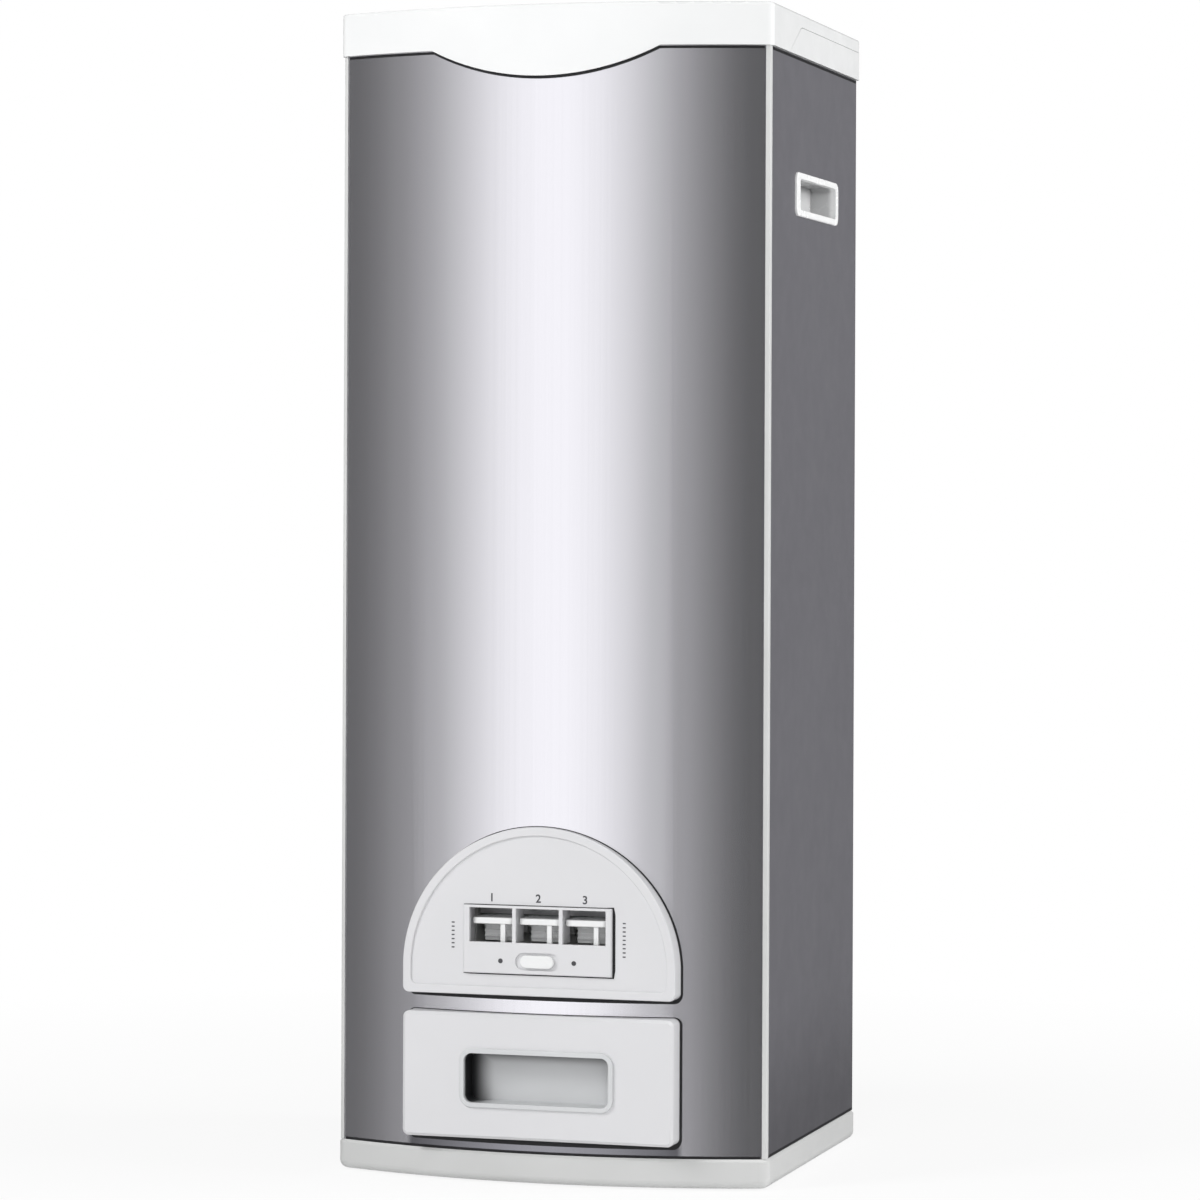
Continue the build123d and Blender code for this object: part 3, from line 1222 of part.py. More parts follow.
with BuildPart() as chute:
    with BuildSketch(Plane.XY.offset(CHUTE_TOP - CHUTE_FLANGE)):
        with Locations((0, HOUSING_MIDDLE_Y)):
            Rectangle(2 * HOUSING_HALF, HOUSING_DEPTH)
    extrude(amount=CHUTE_FLANGE)
    # legs at the front and the back edge stand on the deck
    with BuildSketch(Plane.XY.offset(DECK_TOP)):
        for leg_y in (HOUSING_Y + CHUTE_WALL / 2, HOUSING_BACK - CHUTE_WALL / 2):
            with Locations((0, leg_y)):
                Rectangle(2 * HOUSING_HALF, CHUTE_WALL)
    extrude(amount=CHUTE_TOP - DECK_TOP)
    with BuildSketch(Plane.XY.offset(DECK_TOP - DECK_T - NOZZLE_DROP)):
        with Locations((0, PORT_MIDDLE_Y)):
            Rectangle(*NOZZLE)
    extrude(amount=CHUTE_TOP - DECK_TOP + DECK_T + NOZZLE_DROP)
    with BuildSketch(Plane.XY.offset(DECK_TOP - DECK_T - NOZZLE_DROP)):
        with Locations((0, PORT_MIDDLE_Y)):
            Rectangle(PORTS_WIDTH, PORT_LENGTH)
    extrude(amount=CHUTE_TOP - DECK_TOP + DECK_T + NOZZLE_DROP, mode=Mode.SUBTRACT)
chute.part.label = "chute"
export_step(chute.part, "parts/chute.step")

with BuildPart() as deck_plate:
    deck_half = HALF - SHEET - FIT
    deck_front = Y_CORNER + TRIM_WIDTH + TRIM_LIP + FIT
    deck_back = Y_BACK - SPIGOT_OUT - SHEET - FIT
    deck_middle = (deck_front + deck_back) / 2
    with BuildSketch(Plane.XY.offset(DECK_TOP - DECK_T)):
        with Locations((0, deck_middle)):
            Rectangle(2 * deck_half, deck_back - deck_front)
        with Locations((0, PORT_MIDDLE_Y)):
            Rectangle(NOZZLE[0] + 2 * FIT, NOZZLE[1] + 2 * FIT, mode=Mode.SUBTRACT)
    extrude(amount=DECK_T)
    with BuildSketch(Plane.XY.offset(DECK_TOP - DECK_FLANGE)):
        for side in (-1, 1):
            with Locations((side * (deck_half - DECK_T / 2), deck_middle)):
                Rectangle(DECK_T, deck_back - deck_front)
    extrude(amount=DECK_FLANGE)
deck_plate.part.label = "deck_plate"
export_step(deck_plate.part, "parts/deck_plate.step")

# ---------------------------------------------------------------- hopper and its rails
RAIL_FRONT = Y_CORNER + TRIM_WIDTH + TRIM_LIP + LEDGE_BACK
RAIL_BACK = Y_BACK - SIDE_FLANGE - LEDGE_BACK
RAIL_TOP = BAND_TOP - LEDGE_T


def funnel(wall):
    """The hopper's inside when the wall is 0, or its outside with a wall's thickness added."""
    with BuildPart() as cone:
        with BuildSketch(Plane.XY.offset(FUNNEL_Z)):
            with BuildLine():
                left, right = -PORTS_WIDTH / 2 - wall, PORTS_WIDTH / 2 + wall
                near, far = PORT_Y - wall, PORT_Y + PORT_LENGTH + wall
                Polyline((left, near), (right, near), (right, far), (left, far), (left, near))
            make_face()
        add(body_outline(BAND_Z, wall - HOPPER_INSET - HOPPER_WALL))
        loft(ruled=True)
        extrude(body_outline(BAND_Z, wall - HOPPER_INSET - HOPPER_WALL), amount=HOPPER_BAND)
    return cone.part


with BuildPart() as hopper:
    add(funnel(HOPPER_WALL))
    with BuildSketch(Plane.XY.offset(THROAT_Z)):
        with Locations((0, HOUSING_MIDDLE_Y)):
            Rectangle(2 * HOUSING_HALF, HOUSING_DEPTH)
    extrude(amount=THROAT_PLATE)
    add(funnel(0), mode=Mode.SUBTRACT)
    with BuildSketch(Plane.XY.offset(THROAT_Z)):
        with Locations((0, PORT_MIDDLE_Y)):
            Rectangle(PORTS_WIDTH, PORT_LENGTH)
    extrude(amount=THROAT_PLATE, mode=Mode.SUBTRACT)
    # ledges that hang on the rails
    with BuildSketch(Plane.XY.offset(RAIL_TOP)):
        for side in (-1, 1):
            with Locations((side * (HOPPER_X + (RAIL_T - HOPPER_WALL) / 2), (RAIL_FRONT + RAIL_BACK) / 2)):
                Rectangle(RAIL_T + HOPPER_WALL, RAIL_BACK - RAIL_FRONT)
    extrude(amount=LEDGE_T)
hopper.part.label = "hopper"
export_step(hopper.part, "parts/hopper.step")

with BuildPart() as hopper_rails:
    with BuildSketch(Plane.XY.offset(RAIL_TOP - RAIL_HEIGHT)):
        for side in (-1, 1):
            with Locations((side * (HALF - SHEET - RAIL_T / 2), (RAIL_FRONT + RAIL_BACK) / 2)):
                Rectangle(RAIL_T, RAIL_BACK - RAIL_FRONT)
    extrude(amount=RAIL_HEIGHT)
hopper_rails.part.label = "hopper_rails"
export_step(hopper_rails.part, "parts/hopper_rails.step")
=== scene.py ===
import bmesh
import bpy
import json
import math
from mathutils import Matrix, Vector
from mathutils.geometry import convex_hull_2d


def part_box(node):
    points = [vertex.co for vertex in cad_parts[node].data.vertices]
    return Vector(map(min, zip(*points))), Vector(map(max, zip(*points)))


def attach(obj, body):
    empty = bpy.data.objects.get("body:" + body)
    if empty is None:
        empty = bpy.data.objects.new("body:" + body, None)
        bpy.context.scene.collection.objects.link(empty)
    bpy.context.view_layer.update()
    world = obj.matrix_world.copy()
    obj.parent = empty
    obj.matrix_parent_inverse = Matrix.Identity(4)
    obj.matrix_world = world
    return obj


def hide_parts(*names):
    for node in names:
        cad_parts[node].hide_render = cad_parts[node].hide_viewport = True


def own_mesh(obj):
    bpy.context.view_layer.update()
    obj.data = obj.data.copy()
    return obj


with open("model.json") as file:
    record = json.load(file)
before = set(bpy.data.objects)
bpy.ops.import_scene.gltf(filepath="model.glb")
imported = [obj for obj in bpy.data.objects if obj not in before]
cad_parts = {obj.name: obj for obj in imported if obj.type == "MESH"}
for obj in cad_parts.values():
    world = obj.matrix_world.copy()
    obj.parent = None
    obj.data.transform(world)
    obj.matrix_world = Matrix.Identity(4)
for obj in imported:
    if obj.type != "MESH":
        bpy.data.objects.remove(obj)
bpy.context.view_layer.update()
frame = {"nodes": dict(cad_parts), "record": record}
SCENE = bpy.context.scene
NODES = frame["nodes"]
MM = 0.001
LEVERS = (1, 2, 3)


# ---------------------------------------------------------------- places read from the frame
def low(node):
    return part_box(node)[0]


def high(node):
    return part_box(node)[1]


def middle(node):
    return (low(node) + high(node)) / 2


BOW_RADIUS = 404.5 * MM  # of the front sheet, seen from above
BOW_CENTRE_Y = low("front_panel").y + BOW_RADIUS
HALF_WIDTH = high("right_side_panel").x
PLATE_RIM = 1.2 * MM  # how far the control plate's rim stands out from its flat face
PLATE_FACE_Y = low("control_bezel").y + PLATE_RIM


def bow_y(x):
    """Where the bowed front sheet stands at a place across it."""
    return BOW_CENTRE_Y - math.sqrt(BOW_RADIUS**2 - x**2)


# ---------------------------------------------------------------- camera
CAMERA_PLACE = (0.80596, -2.66210, 0.42478)
CAMERA_YAW = 0.294  # radians to the left, towards the cabinet
CAMERA_ROLL = 0.004
LENS_MM = 127.8
SENSOR_MM = 36.0
FRAMING_SHIFT = -0.0787
FARTHEST_SEEN = 50.0


def add_camera():
    data = bpy.data.cameras.new("camera")
    data.lens = LENS_MM
    data.sensor_width = SENSOR_MM
    data.sensor_fit = "HORIZONTAL"
    data.shift_y = FRAMING_SHIFT
    data.clip_end = FARTHEST_SEEN
    camera = bpy.data.objects.new("camera", data)
    SCENE.collection.objects.link(camera)
    level = Matrix.Rotation(math.radians(90), 4, "X")
    turn = Matrix.Rotation(CAMERA_YAW, 4, "Z")
    roll = Matrix.Rotation(CAMERA_ROLL, 4, "Z")
    camera.matrix_world = Matrix.Translation(CAMERA_PLACE) @ turn @ level @ roll
    SCENE.camera = camera


# ---------------------------------------------------------------- lamps
# name, azimuth in degrees to the right of the front, distance, height, side of the lamp, and power in watts
LAMPS = (
    ("high", -42.0, 2.2, 1.8, 0.8, 33.0),  # gives the shadows under the raised plates and beside them
    ("front", 12.0, 2.6, 1.3, 1.4, 19.5),
    ("right", 95.0, 2.4, 1.2, 1.4, 46.0),
)
LAMP_AIM = Vector((0, 0, 0.38))


def add_lamps():
    """Soft boxes round the cabinet, for matt surfaces only: metal mirrors the card instead."""
    for name, azimuth, distance, height, side, power in LAMPS:
        data = bpy.data.lights.new(name, "AREA")
        data.shape = "SQUARE"
        data.size = side
        data.energy = power
        lamp = bpy.data.objects.new(name, data)
        SCENE.collection.objects.link(lamp)
        angle = math.radians(azimuth)
        place = Vector((distance * math.sin(angle), -distance * math.cos(angle), height))
        facing = (LAMP_AIM - place).to_track_quat("-Z", "Y")
        lamp.matrix_world = Matrix.Translation(place) @ facing.to_matrix().to_4x4()
        lamp.visible_glossy = False


# ---------------------------------------------------------------- nodes and meshes
SEEN_BY = ("Is Camera Ray", "Is Glossy Ray", "Is Transmission Ray")


class Nodes:
    """Short ways to add nodes to a tree."""

    def __init__(self, tree):
        self.tree = tree

    def feed(self, socket, value):
        """Links an input to the output of another node, or sets it to a plain value."""
        if isinstance(value, bpy.types.NodeSocket):
            self.tree.links.new(value, socket)
        else:
            socket.default_value = value

    def fill(self, node, **inputs):
        """Feeds a node's inputs by name; an underscore stands for a space."""
        for name, value in inputs.items():
            self.feed(node.inputs[name.replace("_", " ")], value)
        return node

    def node(self, kind, **inputs):
        return self.fill(self.tree.nodes.new(kind), **inputs)

    def calculate(self, operation, *values):
        """The result of a Math node."""
        made = self.node("ShaderNodeMath")
        made.operation = operation
        for socket, value in zip(made.inputs, values):
            self.feed(socket, value)
        return made.outputs[0]

    def times(self, one, other):
        return self.calculate("MULTIPLY", one, other)

    def largest(self, value, *others):
        for other in others:
            value = self.calculate("MAXIMUM", value, other)
        return value

    def mapped(self, value, source, target=(0.0, 1.0), smooth=False):
        """A value taken from its own range to another one, and kept inside that."""
        made = self.node(
            "ShaderNodeMapRange", Value=value,
            From_Min=source[0], From_Max=source[1], To_Min=target[0], To_Max=target[1],
        )
        if smooth:
            made.interpolation_type = "SMOOTHSTEP"
        return made.outputs["Result"]

    def blended(self, share, one, other):
        """A colour that goes from one to another by a share."""
        made = self.node("ShaderNodeMix")
        made.data_type = "RGBA"
        return self.fill(made, Factor=share, A=one, B=other).outputs["Result"]

    def mixed(self, share, one, other):
        """A shader that goes from one shader node to another by a share."""
        made = self.node("ShaderNodeMixShader", Fac=share)
        self.feed(made.inputs[1], one.outputs[0])
        self.feed(made.inputs[2], other.outputs[0])
        return made.outputs[0]

    def seen(self):
        """1 for the rays that show the background, straight or by gloss or glass, and 0 for the rest."""
        path = self.node("ShaderNodeLightPath")
        return self.largest(*(path.outputs[kind] for kind in SEEN_BY))


def blank_material(name):
    """A material with nothing in its tree, and the nodes to be added to it."""
    material = bpy.data.materials.new(name)
    material.use_nodes = True
    material.node_tree.nodes.clear()
    return material, Nodes(material.node_tree)


def mesh_object(name, shape, material):
    mesh = bpy.data.meshes.new(name)
    shape.to_mesh(mesh)
    shape.free()
    mesh.materials.append(material)
    made = bpy.data.objects.new(name, mesh)
    SCENE.collection.objects.link(made)
    return made


# ---------------------------------------------------------------- surroundings
WHITE = (1, 1, 1, 1)
ROOM_LIGHT = 0.30  # what the room adds on every matt surface


def add_world():
    """White wherever it is seen, and a plain dim room for matt surfaces."""
    world = bpy.data.worlds.new("room")
    SCENE.world = world
    world.use_nodes = True
    world.node_tree.nodes.clear()
    nodes = Nodes(world.node_tree)
    room = nodes.node("ShaderNodeBackground", Color=WHITE, Strength=ROOM_LIGHT)
    white = nodes.node("ShaderNodeBackground", Color=WHITE)
    nodes.node("ShaderNodeOutputWorld", Surface=nodes.mixed(nodes.seen(), room, white))


CARD_RADIUS = 4.0
CARD_HEIGHT = 6.0
CARD_MIDDLE_Z = 0.3
CARD_SIDES = 96
CARD_TINT = (1.0, 0.992, 1.02)
FRONT_OF_TURN = 0.25  # share of its turn at which the radial gradient stands straight before the front
# azimuth in degrees to the right of the front, and the card's brightness there
CARD_TONES = (
    (-88, 0.04),
    (-62, 0.04),
    (-52, 0.19),
    (-43, 0.30),
    (-34, 0.62),
    (-25, 1.14),
    (-13, 1.30),
    (-4, 1.12),
    (3, 0.68),
    (12, 0.29),
    (22, 0.05),
    (60, 0.04),
    (100, 0.20),
    (150, 0.30),
    (200, 0.30),
    (262, 0.10),
)


def add_reflection_card():
    """A round card about the cabinet and the camera, seen by gloss alone, with one pale upright band."""
    material, nodes = blank_material("card_tones")
    place = nodes.node("ShaderNodeTexCoord").outputs["Object"]
    turn = nodes.node("ShaderNodeTexGradient", Vector=place)
    turn.gradient_type = "RADIAL"
    ramp = nodes.node("ShaderNodeValToRGB", Fac=turn.outputs["Fac"])
    ramp.color_ramp.interpolation = "EASE"
    tones = ramp.color_ramp.elements
    while len(tones) < len(CARD_TONES):
        tones.new(1.0)
    for tone, (azimuth, level) in zip(tones, CARD_TONES):
        tone.position = azimuth / 360 + FRONT_OF_TURN
        tone.color = (*(level * tint for tint in CARD_TINT), 1)
    glow = nodes.node("ShaderNodeEmission", Color=ramp.outputs["Color"])
    nodes.node("ShaderNodeOutputMaterial", Surface=glow.outputs[0])
    shape = bmesh.new()
    bmesh.ops.create_cone(
        shape, segments=CARD_SIDES, radius1=CARD_RADIUS, radius2=CARD_RADIUS, depth=CARD_HEIGHT
    )
    card = mesh_object("reflection_card", shape, material)
    card.location.z = CARD_MIDDLE_Z
    card.visible_camera = False
    card.visible_diffuse = False
    card.visible_shadow = False
    card.visible_transmission = False


FLOOR_HALF = 6.0  # half of its side
FLOOR_COLOUR = (0.86, 0.86, 0.86, 1)
NEAR_LIFT = 0.88  # share of plain white near the cabinet, where its shadow falls
NEAR, FAR = 0.35, 1.0  # distances between which it grows to plain white


def add_floor():
    """A pale floor that keeps the shadow and turns plain white further away."""
    material, nodes = blank_material("pale_floor")
    away = nodes.node("ShaderNodeVectorMath")
    away.operation = "LENGTH"
    nodes.feed(away.inputs[0], nodes.node("ShaderNodeTexCoord").outputs["Object"])
    lift = nodes.mapped(away.outputs["Value"], (NEAR, FAR), (NEAR_LIFT, 1.0))
    matt = nodes.node("ShaderNodeBsdfDiffuse", Color=FLOOR_COLOUR)
    glow = nodes.node("ShaderNodeEmission")
    look = nodes.mixed(nodes.times(lift, nodes.seen()), matt, glow)
    nodes.node("ShaderNodeOutputMaterial", Surface=look)
    shape = bmesh.new()
    bmesh.ops.create_grid(shape, x_segments=2, y_segments=2, size=FLOOR_HALF)
    floor = mesh_object("floor", shape, material)
    floor.visible_glossy = False


# ---------------------------------------------------------------- materials
NOISE_SPAN = (0.3, 0.7)  # where most values of a noise pattern lie
BRUSHED_SPAN = (0.25, 0.75)  # wider, so that the hair lines stay soft
LINE_RUN = 0.5  # waves to a metre along the hair lines
BROAD_RUN = 0.2
BROADER = 9  # how many times wider the uneven gloss is than the hair lines


class Surface(Nodes):
    """A principled material and the patterns that vary it, all in object coordinates."""

    def __init__(self, name, metallic=0.0):
        self.name = name
        self.material = bpy.data.materials.new(name)
        self.material.use_nodes = True
        super().__init__(self.material.node_tree)
        self.shader = self.tree.nodes["Principled BSDF"]
        self.place = self.node("ShaderNodeTexCoord").outputs["Object"]
        self.look(Metallic=metallic)

    def look(self, **inputs):
        """Values or patterns for the inputs of the shader itself."""
        self.fill(self.shader, **inputs)

    def stretched(self, *scale):
        """Object coordinates stretched along X, Y and Z."""
        return self.node("ShaderNodeMapping", Vector=self.place, Scale=scale).outputs[0]

    def noise(self, scale=1.0, detail=2.0, roughness=0.5, where=None):
        made = self.node(
            "ShaderNodeTexNoise", Vector=self.place if where is None else where,
            Scale=scale, Detail=detail, Roughness=roughness,
        )
        return made.outputs["Fac"]

    def fade(self, axis, start, end, most=1.0, mirrored=False):
        """A smooth share that grows from 0 to the most between two places along an axis."""
        value = self.node("ShaderNodeSeparateXYZ", Vector=self.place).outputs[axis]
        if mirrored:
            value = self.calculate("ABSOLUTE", value)
        return self.mapped(value, (start, end), (0.0, most), smooth=True)

    def paint(self, pattern, tones, span=NOISE_SPAN):
        """A colour between a dark tone and a pale one, by a pattern."""
        dark, pale = ((*tone, 1) for tone in tones)
        self.look(Base_Color=self.blended(self.mapped(pattern, span), dark, pale))

    def darken(self, share, shade):
        """Takes the colour painted so far towards a shade, by a share."""
        painted = self.shader.inputs["Base Color"].links[0].from_socket
        self.look(Base_Color=self.blended(share, painted, (*shade, 1)))

    def roughen(self, pattern, roughness):
        self.look(Roughness=self.mapped(pattern, NOISE_SPAN, roughness))

    def bump(self, pattern, strength, depth):
        made = self.node("ShaderNodeBump", Height=pattern, Strength=strength, Distance=depth)
        self.look(Normal=made.outputs[0])


def moulded_plastic(name, tones, roughness, grain, depth, coat=0.0):
    """Injection-moulded plastic: faint cloudiness, a fine skin and slightly uneven gloss."""
    surface = Surface(name)
    surface.paint(surface.noise(scale=9.0, detail=3.0), tones)
    surface.roughen(surface.noise(scale=60.0, detail=4.0), roughness)
    surface.bump(surface.noise(scale=grain), strength=0.25, depth=depth)
    surface.look(Coat_Weight=coat, Coat_Roughness=0.06)
    return surface


def brushed_metal(name, tones, roughness, hairs, strength, anisotropy):
    """Sheet metal with fine upright hair lines, whose scale is in waves to a metre across them."""
    surface = Surface(name, metallic=1.0)
    lines = surface.noise(detail=4.0, roughness=0.6, where=surface.stretched(hairs, hairs, LINE_RUN))
    broad = surface.noise(where=surface.stretched(hairs / BROADER, hairs / BROADER, BROAD_RUN))
    surface.paint(lines, tones, BRUSHED_SPAN)
    surface.roughen(broad, roughness)
    surface.bump(lines, strength=strength, depth=0.02 * MM)
    surface.look(Anisotropic=anisotropy)
    return surface


def front_steel():
    """The brushed front sheet, with the drawer front's shadow painted on the strip under it."""
    surface = brushed_metal(
        "brushed_front", ((0.80, 0.797, 0.822), (0.83, 0.827, 0.852)), roughness=(0.25, 0.27),
        hairs=3600.0, strength=0.02, anisotropy=0.3,
    )
    foot, side = low("drawer_front").z, high("drawer_front").x
    # painted shadow of the drawer front, on the steel just under its lower edge
    under = surface.fade("Z", start=foot + 2 * MM, end=foot - 3 * MM)
    across = surface.fade("X", start=side + 3 * MM, end=side - 2 * MM, mirrored=True)
    surface.darken(surface.times(under, across), shade=(0.27, 0.27, 0.29))
    return surface


def painted_sheet():
    """Satin dark grey sheet with a fine orange-peel skin, and a painted darker reflection towards its foot.
    """
    surface = Surface("grey_sheet")
    surface.paint(surface.noise(scale=4.0, detail=3.0), ((0.110, 0.108, 0.121), (0.120, 0.118, 0.132)))
    # painted darker reflection, growing towards the sheet's foot
    foot = surface.fade("Z", start=120 * MM, end=20 * MM, most=0.75)
    surface.darken(foot, shade=(0.055, 0.054, 0.061))
    surface.roughen(surface.noise(scale=35.0, detail=3.0), roughness=(0.40, 0.50))
    surface.bump(surface.noise(scale=700.0), strength=0.10, depth=0.08 * MM)
    return surface


GRIP_RIM = Vector((3, 0, 3)) * MM  # width of the rim round the slot


def grip_slot():
    """The drawer's grip: pale on its rim and back wall, with painted shade along the inner edges of the slot.
    """
    surface = moulded_plastic(
        "grip_plastic", ((0.60, 0.61, 0.62), (0.66, 0.67, 0.68)), roughness=(0.30, 0.42),
        grain=1200.0, depth=0.06 * MM,
    )
    first, last = low("grip_cup") + GRIP_RIM, high("grip_cup") - GRIP_RIM
    face = low("drawer_front").y
    inside = surface.fade("Y", start=face, end=face + 3 * MM)
    left = surface.fade("X", start=first.x + 16 * MM, end=first.x + 1 * MM)
    top = surface.fade("Z", start=last.z - 8 * MM, end=last.z, most=0.8)
    right = surface.fade("X", start=last.x - 5 * MM, end=last.x, most=0.7)
    # painted shade along the left, top and right inner edges of the slot
    surface.darken(surface.times(inside, surface.largest(left, top, right)), shade=(0.012, 0.012, 0.014))
    return surface


POCKET_SHARE = 0.35  # how far the whole pocket goes towards its painted shade


def handle_pocket():
    """The side handles: a rim with painted light, paler than the other white plastic, and painted shade over
    the pocket and along its front and top edges.
    """
    # tones paler than white_plastic: painted light on the rim
    surface = moulded_plastic(
        "handle_plastic", ((0.86, 0.865, 0.865), (0.90, 0.905, 0.905)), roughness=(0.20, 0.30),
        grain=900.0, depth=0.04 * MM,
    )
    first, last = low("right_handle_cup"), high("right_handle_cup")
    inside = surface.fade("X", start=HALF_WIDTH - 0.5 * MM, end=HALF_WIDTH - 4 * MM, mirrored=True)
    front = surface.fade("Y", start=first.y + 24 * MM, end=first.y + 6 * MM)
    top = surface.fade("Z", start=last.z - 9 * MM, end=last.z - 3 * MM, most=0.6)
    # painted shade along the front and top edges of the pocket
    surface.darken(surface.times(inside, surface.largest(front, top)), shade=(0.05, 0.05, 0.053))
    # painted shade over the whole pocket
    surface.darken(surface.times(inside, POCKET_SHARE), shade=(0.20, 0.20, 0.21))
    return surface


def soft_rubber(name, tones):
    """A matt soft skin, for rubber, gaskets, dark lines of painted shade and printed ink."""
    surface = Surface(name)
    clouds = surface.noise(scale=120.0, detail=3.0)
    surface.paint(clouds, tones)
    surface.roughen(clouds, roughness=(0.65, 0.85))
    surface.bump(surface.noise(scale=1500.0), strength=0.3, depth=0.1 * MM)
    return surface


def make_materials():
    """Every material by name: one for each slot of the record, and those that only this file uses."""
    surfaces = (
        moulded_plastic(
            "white_plastic", ((0.80, 0.81, 0.81), (0.86, 0.865, 0.865)), roughness=(0.16, 0.26),
            grain=900.0, depth=0.04 * MM, coat=0.3,
        ),
        moulded_plastic(
            "silver_plastic", ((0.685, 0.685, 0.70), (0.705, 0.705, 0.72)), roughness=(0.34, 0.37),
            grain=1600.0, depth=0.10 * MM, coat=0.3,
        ),
        grip_slot(),
        handle_pocket(),
        moulded_plastic(
            "inner_plastic", ((0.72, 0.73, 0.72), (0.78, 0.79, 0.78)), roughness=(0.35, 0.50),
            grain=500.0, depth=0.08 * MM,
        ),
        front_steel(),
        painted_sheet(),
        moulded_plastic(
            "base_plastic", ((0.59, 0.595, 0.59), (0.65, 0.655, 0.65)), roughness=(0.30, 0.40),
            grain=900.0, depth=0.08 * MM,
        ),
        brushed_metal(
            "bright_steel", ((0.62, 0.62, 0.60), (0.80, 0.80, 0.78)), roughness=(0.22, 0.38),
            hairs=3000.0, strength=0.1, anisotropy=0.0,
        ),
        # for the dark lines of painted shade and shadow in the joints
        soft_rubber("joint_shade_line", ((0.010, 0.010, 0.011), (0.022, 0.022, 0.024))),
        soft_rubber("ink", ((0.06, 0.06, 0.065), (0.10, 0.10, 0.11))),
        soft_rubber("rubber", ((0.022, 0.022, 0.023), (0.04, 0.04, 0.042))),
        soft_rubber("gasket", ((0.42, 0.42, 0.42), (0.50, 0.50, 0.50))),
    )
    return {surface.name: surface.material for surface in surfaces}


# nodes that look unlike the rest of their slot
NODE_FINISH = {
    "base_plinth": "base_plastic",
    "left_corner_trim": "base_plastic",
    "right_corner_trim": "base_plastic",
    "left_handle_cup": "handle_plastic",
    "right_handle_cup": "handle_plastic",
}


def dress_nodes(materials):
    """Each CAD node takes the material of its slot in the record, or a finish of its own."""
    for row in frame["record"]["subparts"]:
        mesh = NODES[row["node"]].data
        for index in range(len(mesh.materials)):
            mesh.materials[index] = materials[NODE_FINISH.get(row["node"], row["material_slot"])]


# ---------------------------------------------------------------- new pieces: what their making shares
BEAD_STEPS = 6  # across the half round
SKIN = 0.03 * MM  # how far a bead's foot stands off the surface that it lies on


def new_piece(name, shape, material, body, smooth=False):
    """A piece of the object that rides on a body."""
    piece = mesh_object(name, shape, material)
    for face in piece.data.polygons:
        face.use_smooth = smooth
    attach(piece, body)
    return piece


def join_rings(shape, rings, closed=False):
    """A skin over rings of corners; its two ends are shut unless the last ring meets the first."""
    pairs = list(zip(rings, rings[1:]))
    if closed:
        pairs.append((rings[-1], rings[0]))
    for one, two in pairs:
        for corner in range(len(one)):
            after = (corner + 1) % len(one)
            shape.faces.new((one[corner], one[after], two[after], two[corner]))
    if not closed:
        shape.faces.new(rings[0])
        shape.faces.new(rings[-1][::-1])
    bmesh.ops.recalc_face_normals(shape, faces=shape.faces)


def bead(shape, spine, closed=False):
    """A half-round cord: each place of its spine gives a foot, half its width and its height as vectors."""
    rings = []
    for foot, half, rise in spine:
        ring = []
        for step in range(BEAD_STEPS + 1):
            angle = math.pi * step / BEAD_STEPS
            ring.append(shape.verts.new(foot + half * math.cos(angle) + rise * math.sin(angle)))
        rings.append(ring)
    join_rings(shape, rings, closed)


def evenly(first, last, steps):
    """Evenly spaced values from the first to the last."""
    return [first + (last - first) * step / steps for step in range(steps + 1)]


# ---------------------------------------------------------------- dark lines of painted shade in the joints
LINE = 1.7 * MM  # width of the straight and the arched lines of painted shade
HALF_LINE = Vector((0, 0, LINE / 2))
LINE_STEPS = 40  # along a line that follows the bow
TONGUE_HALF = 75.0 * MM  # half the width of the lid's tongue
TONGUE_DROP = 18.0 * MM  # from the ends of its lower edge to the lowest place
TONGUE_RADIUS = (TONGUE_HALF**2 + TONGUE_DROP**2) / (2 * TONGUE_DROP)
SHADOW_LINE_SHARE = 0.985  # of the tongue's width
SHADOW_LINE_OFF = 0.45 * MM  # from the front sheet to the foot of the shadow line
SHADOW_LINE_RISE = 1.3 * MM


def tongue_edge_z(x):
    """The lower edge of the lid's tongue, an arc through its ends and its lowest place."""
    return low("lid").z + TONGUE_RADIUS - math.sqrt(TONGUE_RADIUS**2 - x**2)


def add_tongue_seal(dark):
    """A dark line of painted shadow under the edge of the lid's tongue, which swings up with the lid."""
    shape = bmesh.new()
    end = TONGUE_HALF * SHADOW_LINE_SHARE
    spine = []
    # a dark bead of painted shadow along the tongue's lower edge
    for x in evenly(-end, end, LINE_STEPS):
        foot = Vector((x, bow_y(x) - SHADOW_LINE_OFF, tongue_edge_z(x) - LINE / 2))
        spine.append((foot, HALF_LINE, Vector((0, -SHADOW_LINE_RISE, 0))))
    bead(shape, spine)
    new_piece("tongue_shadow_line", shape, dark, "lid")


FRONT_SEAM_RISE = 0.27 * MM
FRONT_SEAM_SHORT = 1.0 * MM  # how far a line of seam shade ends before its sheet does
SIDE_SEAM_RISE = 0.4 * MM
SIDE_SEAM_SHORT_FRONT = 1.5 * MM
SIDE_SEAM_SHORT_BACK = 1.0 * MM
SIDE_SEAM_STEPS = 4
HEAD_GAP = LINE / 4  # between a sheet's head and the line under it


def seam_heights(node):
    """Where the middles of the lines at a sheet's head and foot lie."""
    return high(node).z - HEAD_GAP - LINE / 2, low(node).z + LINE / 2


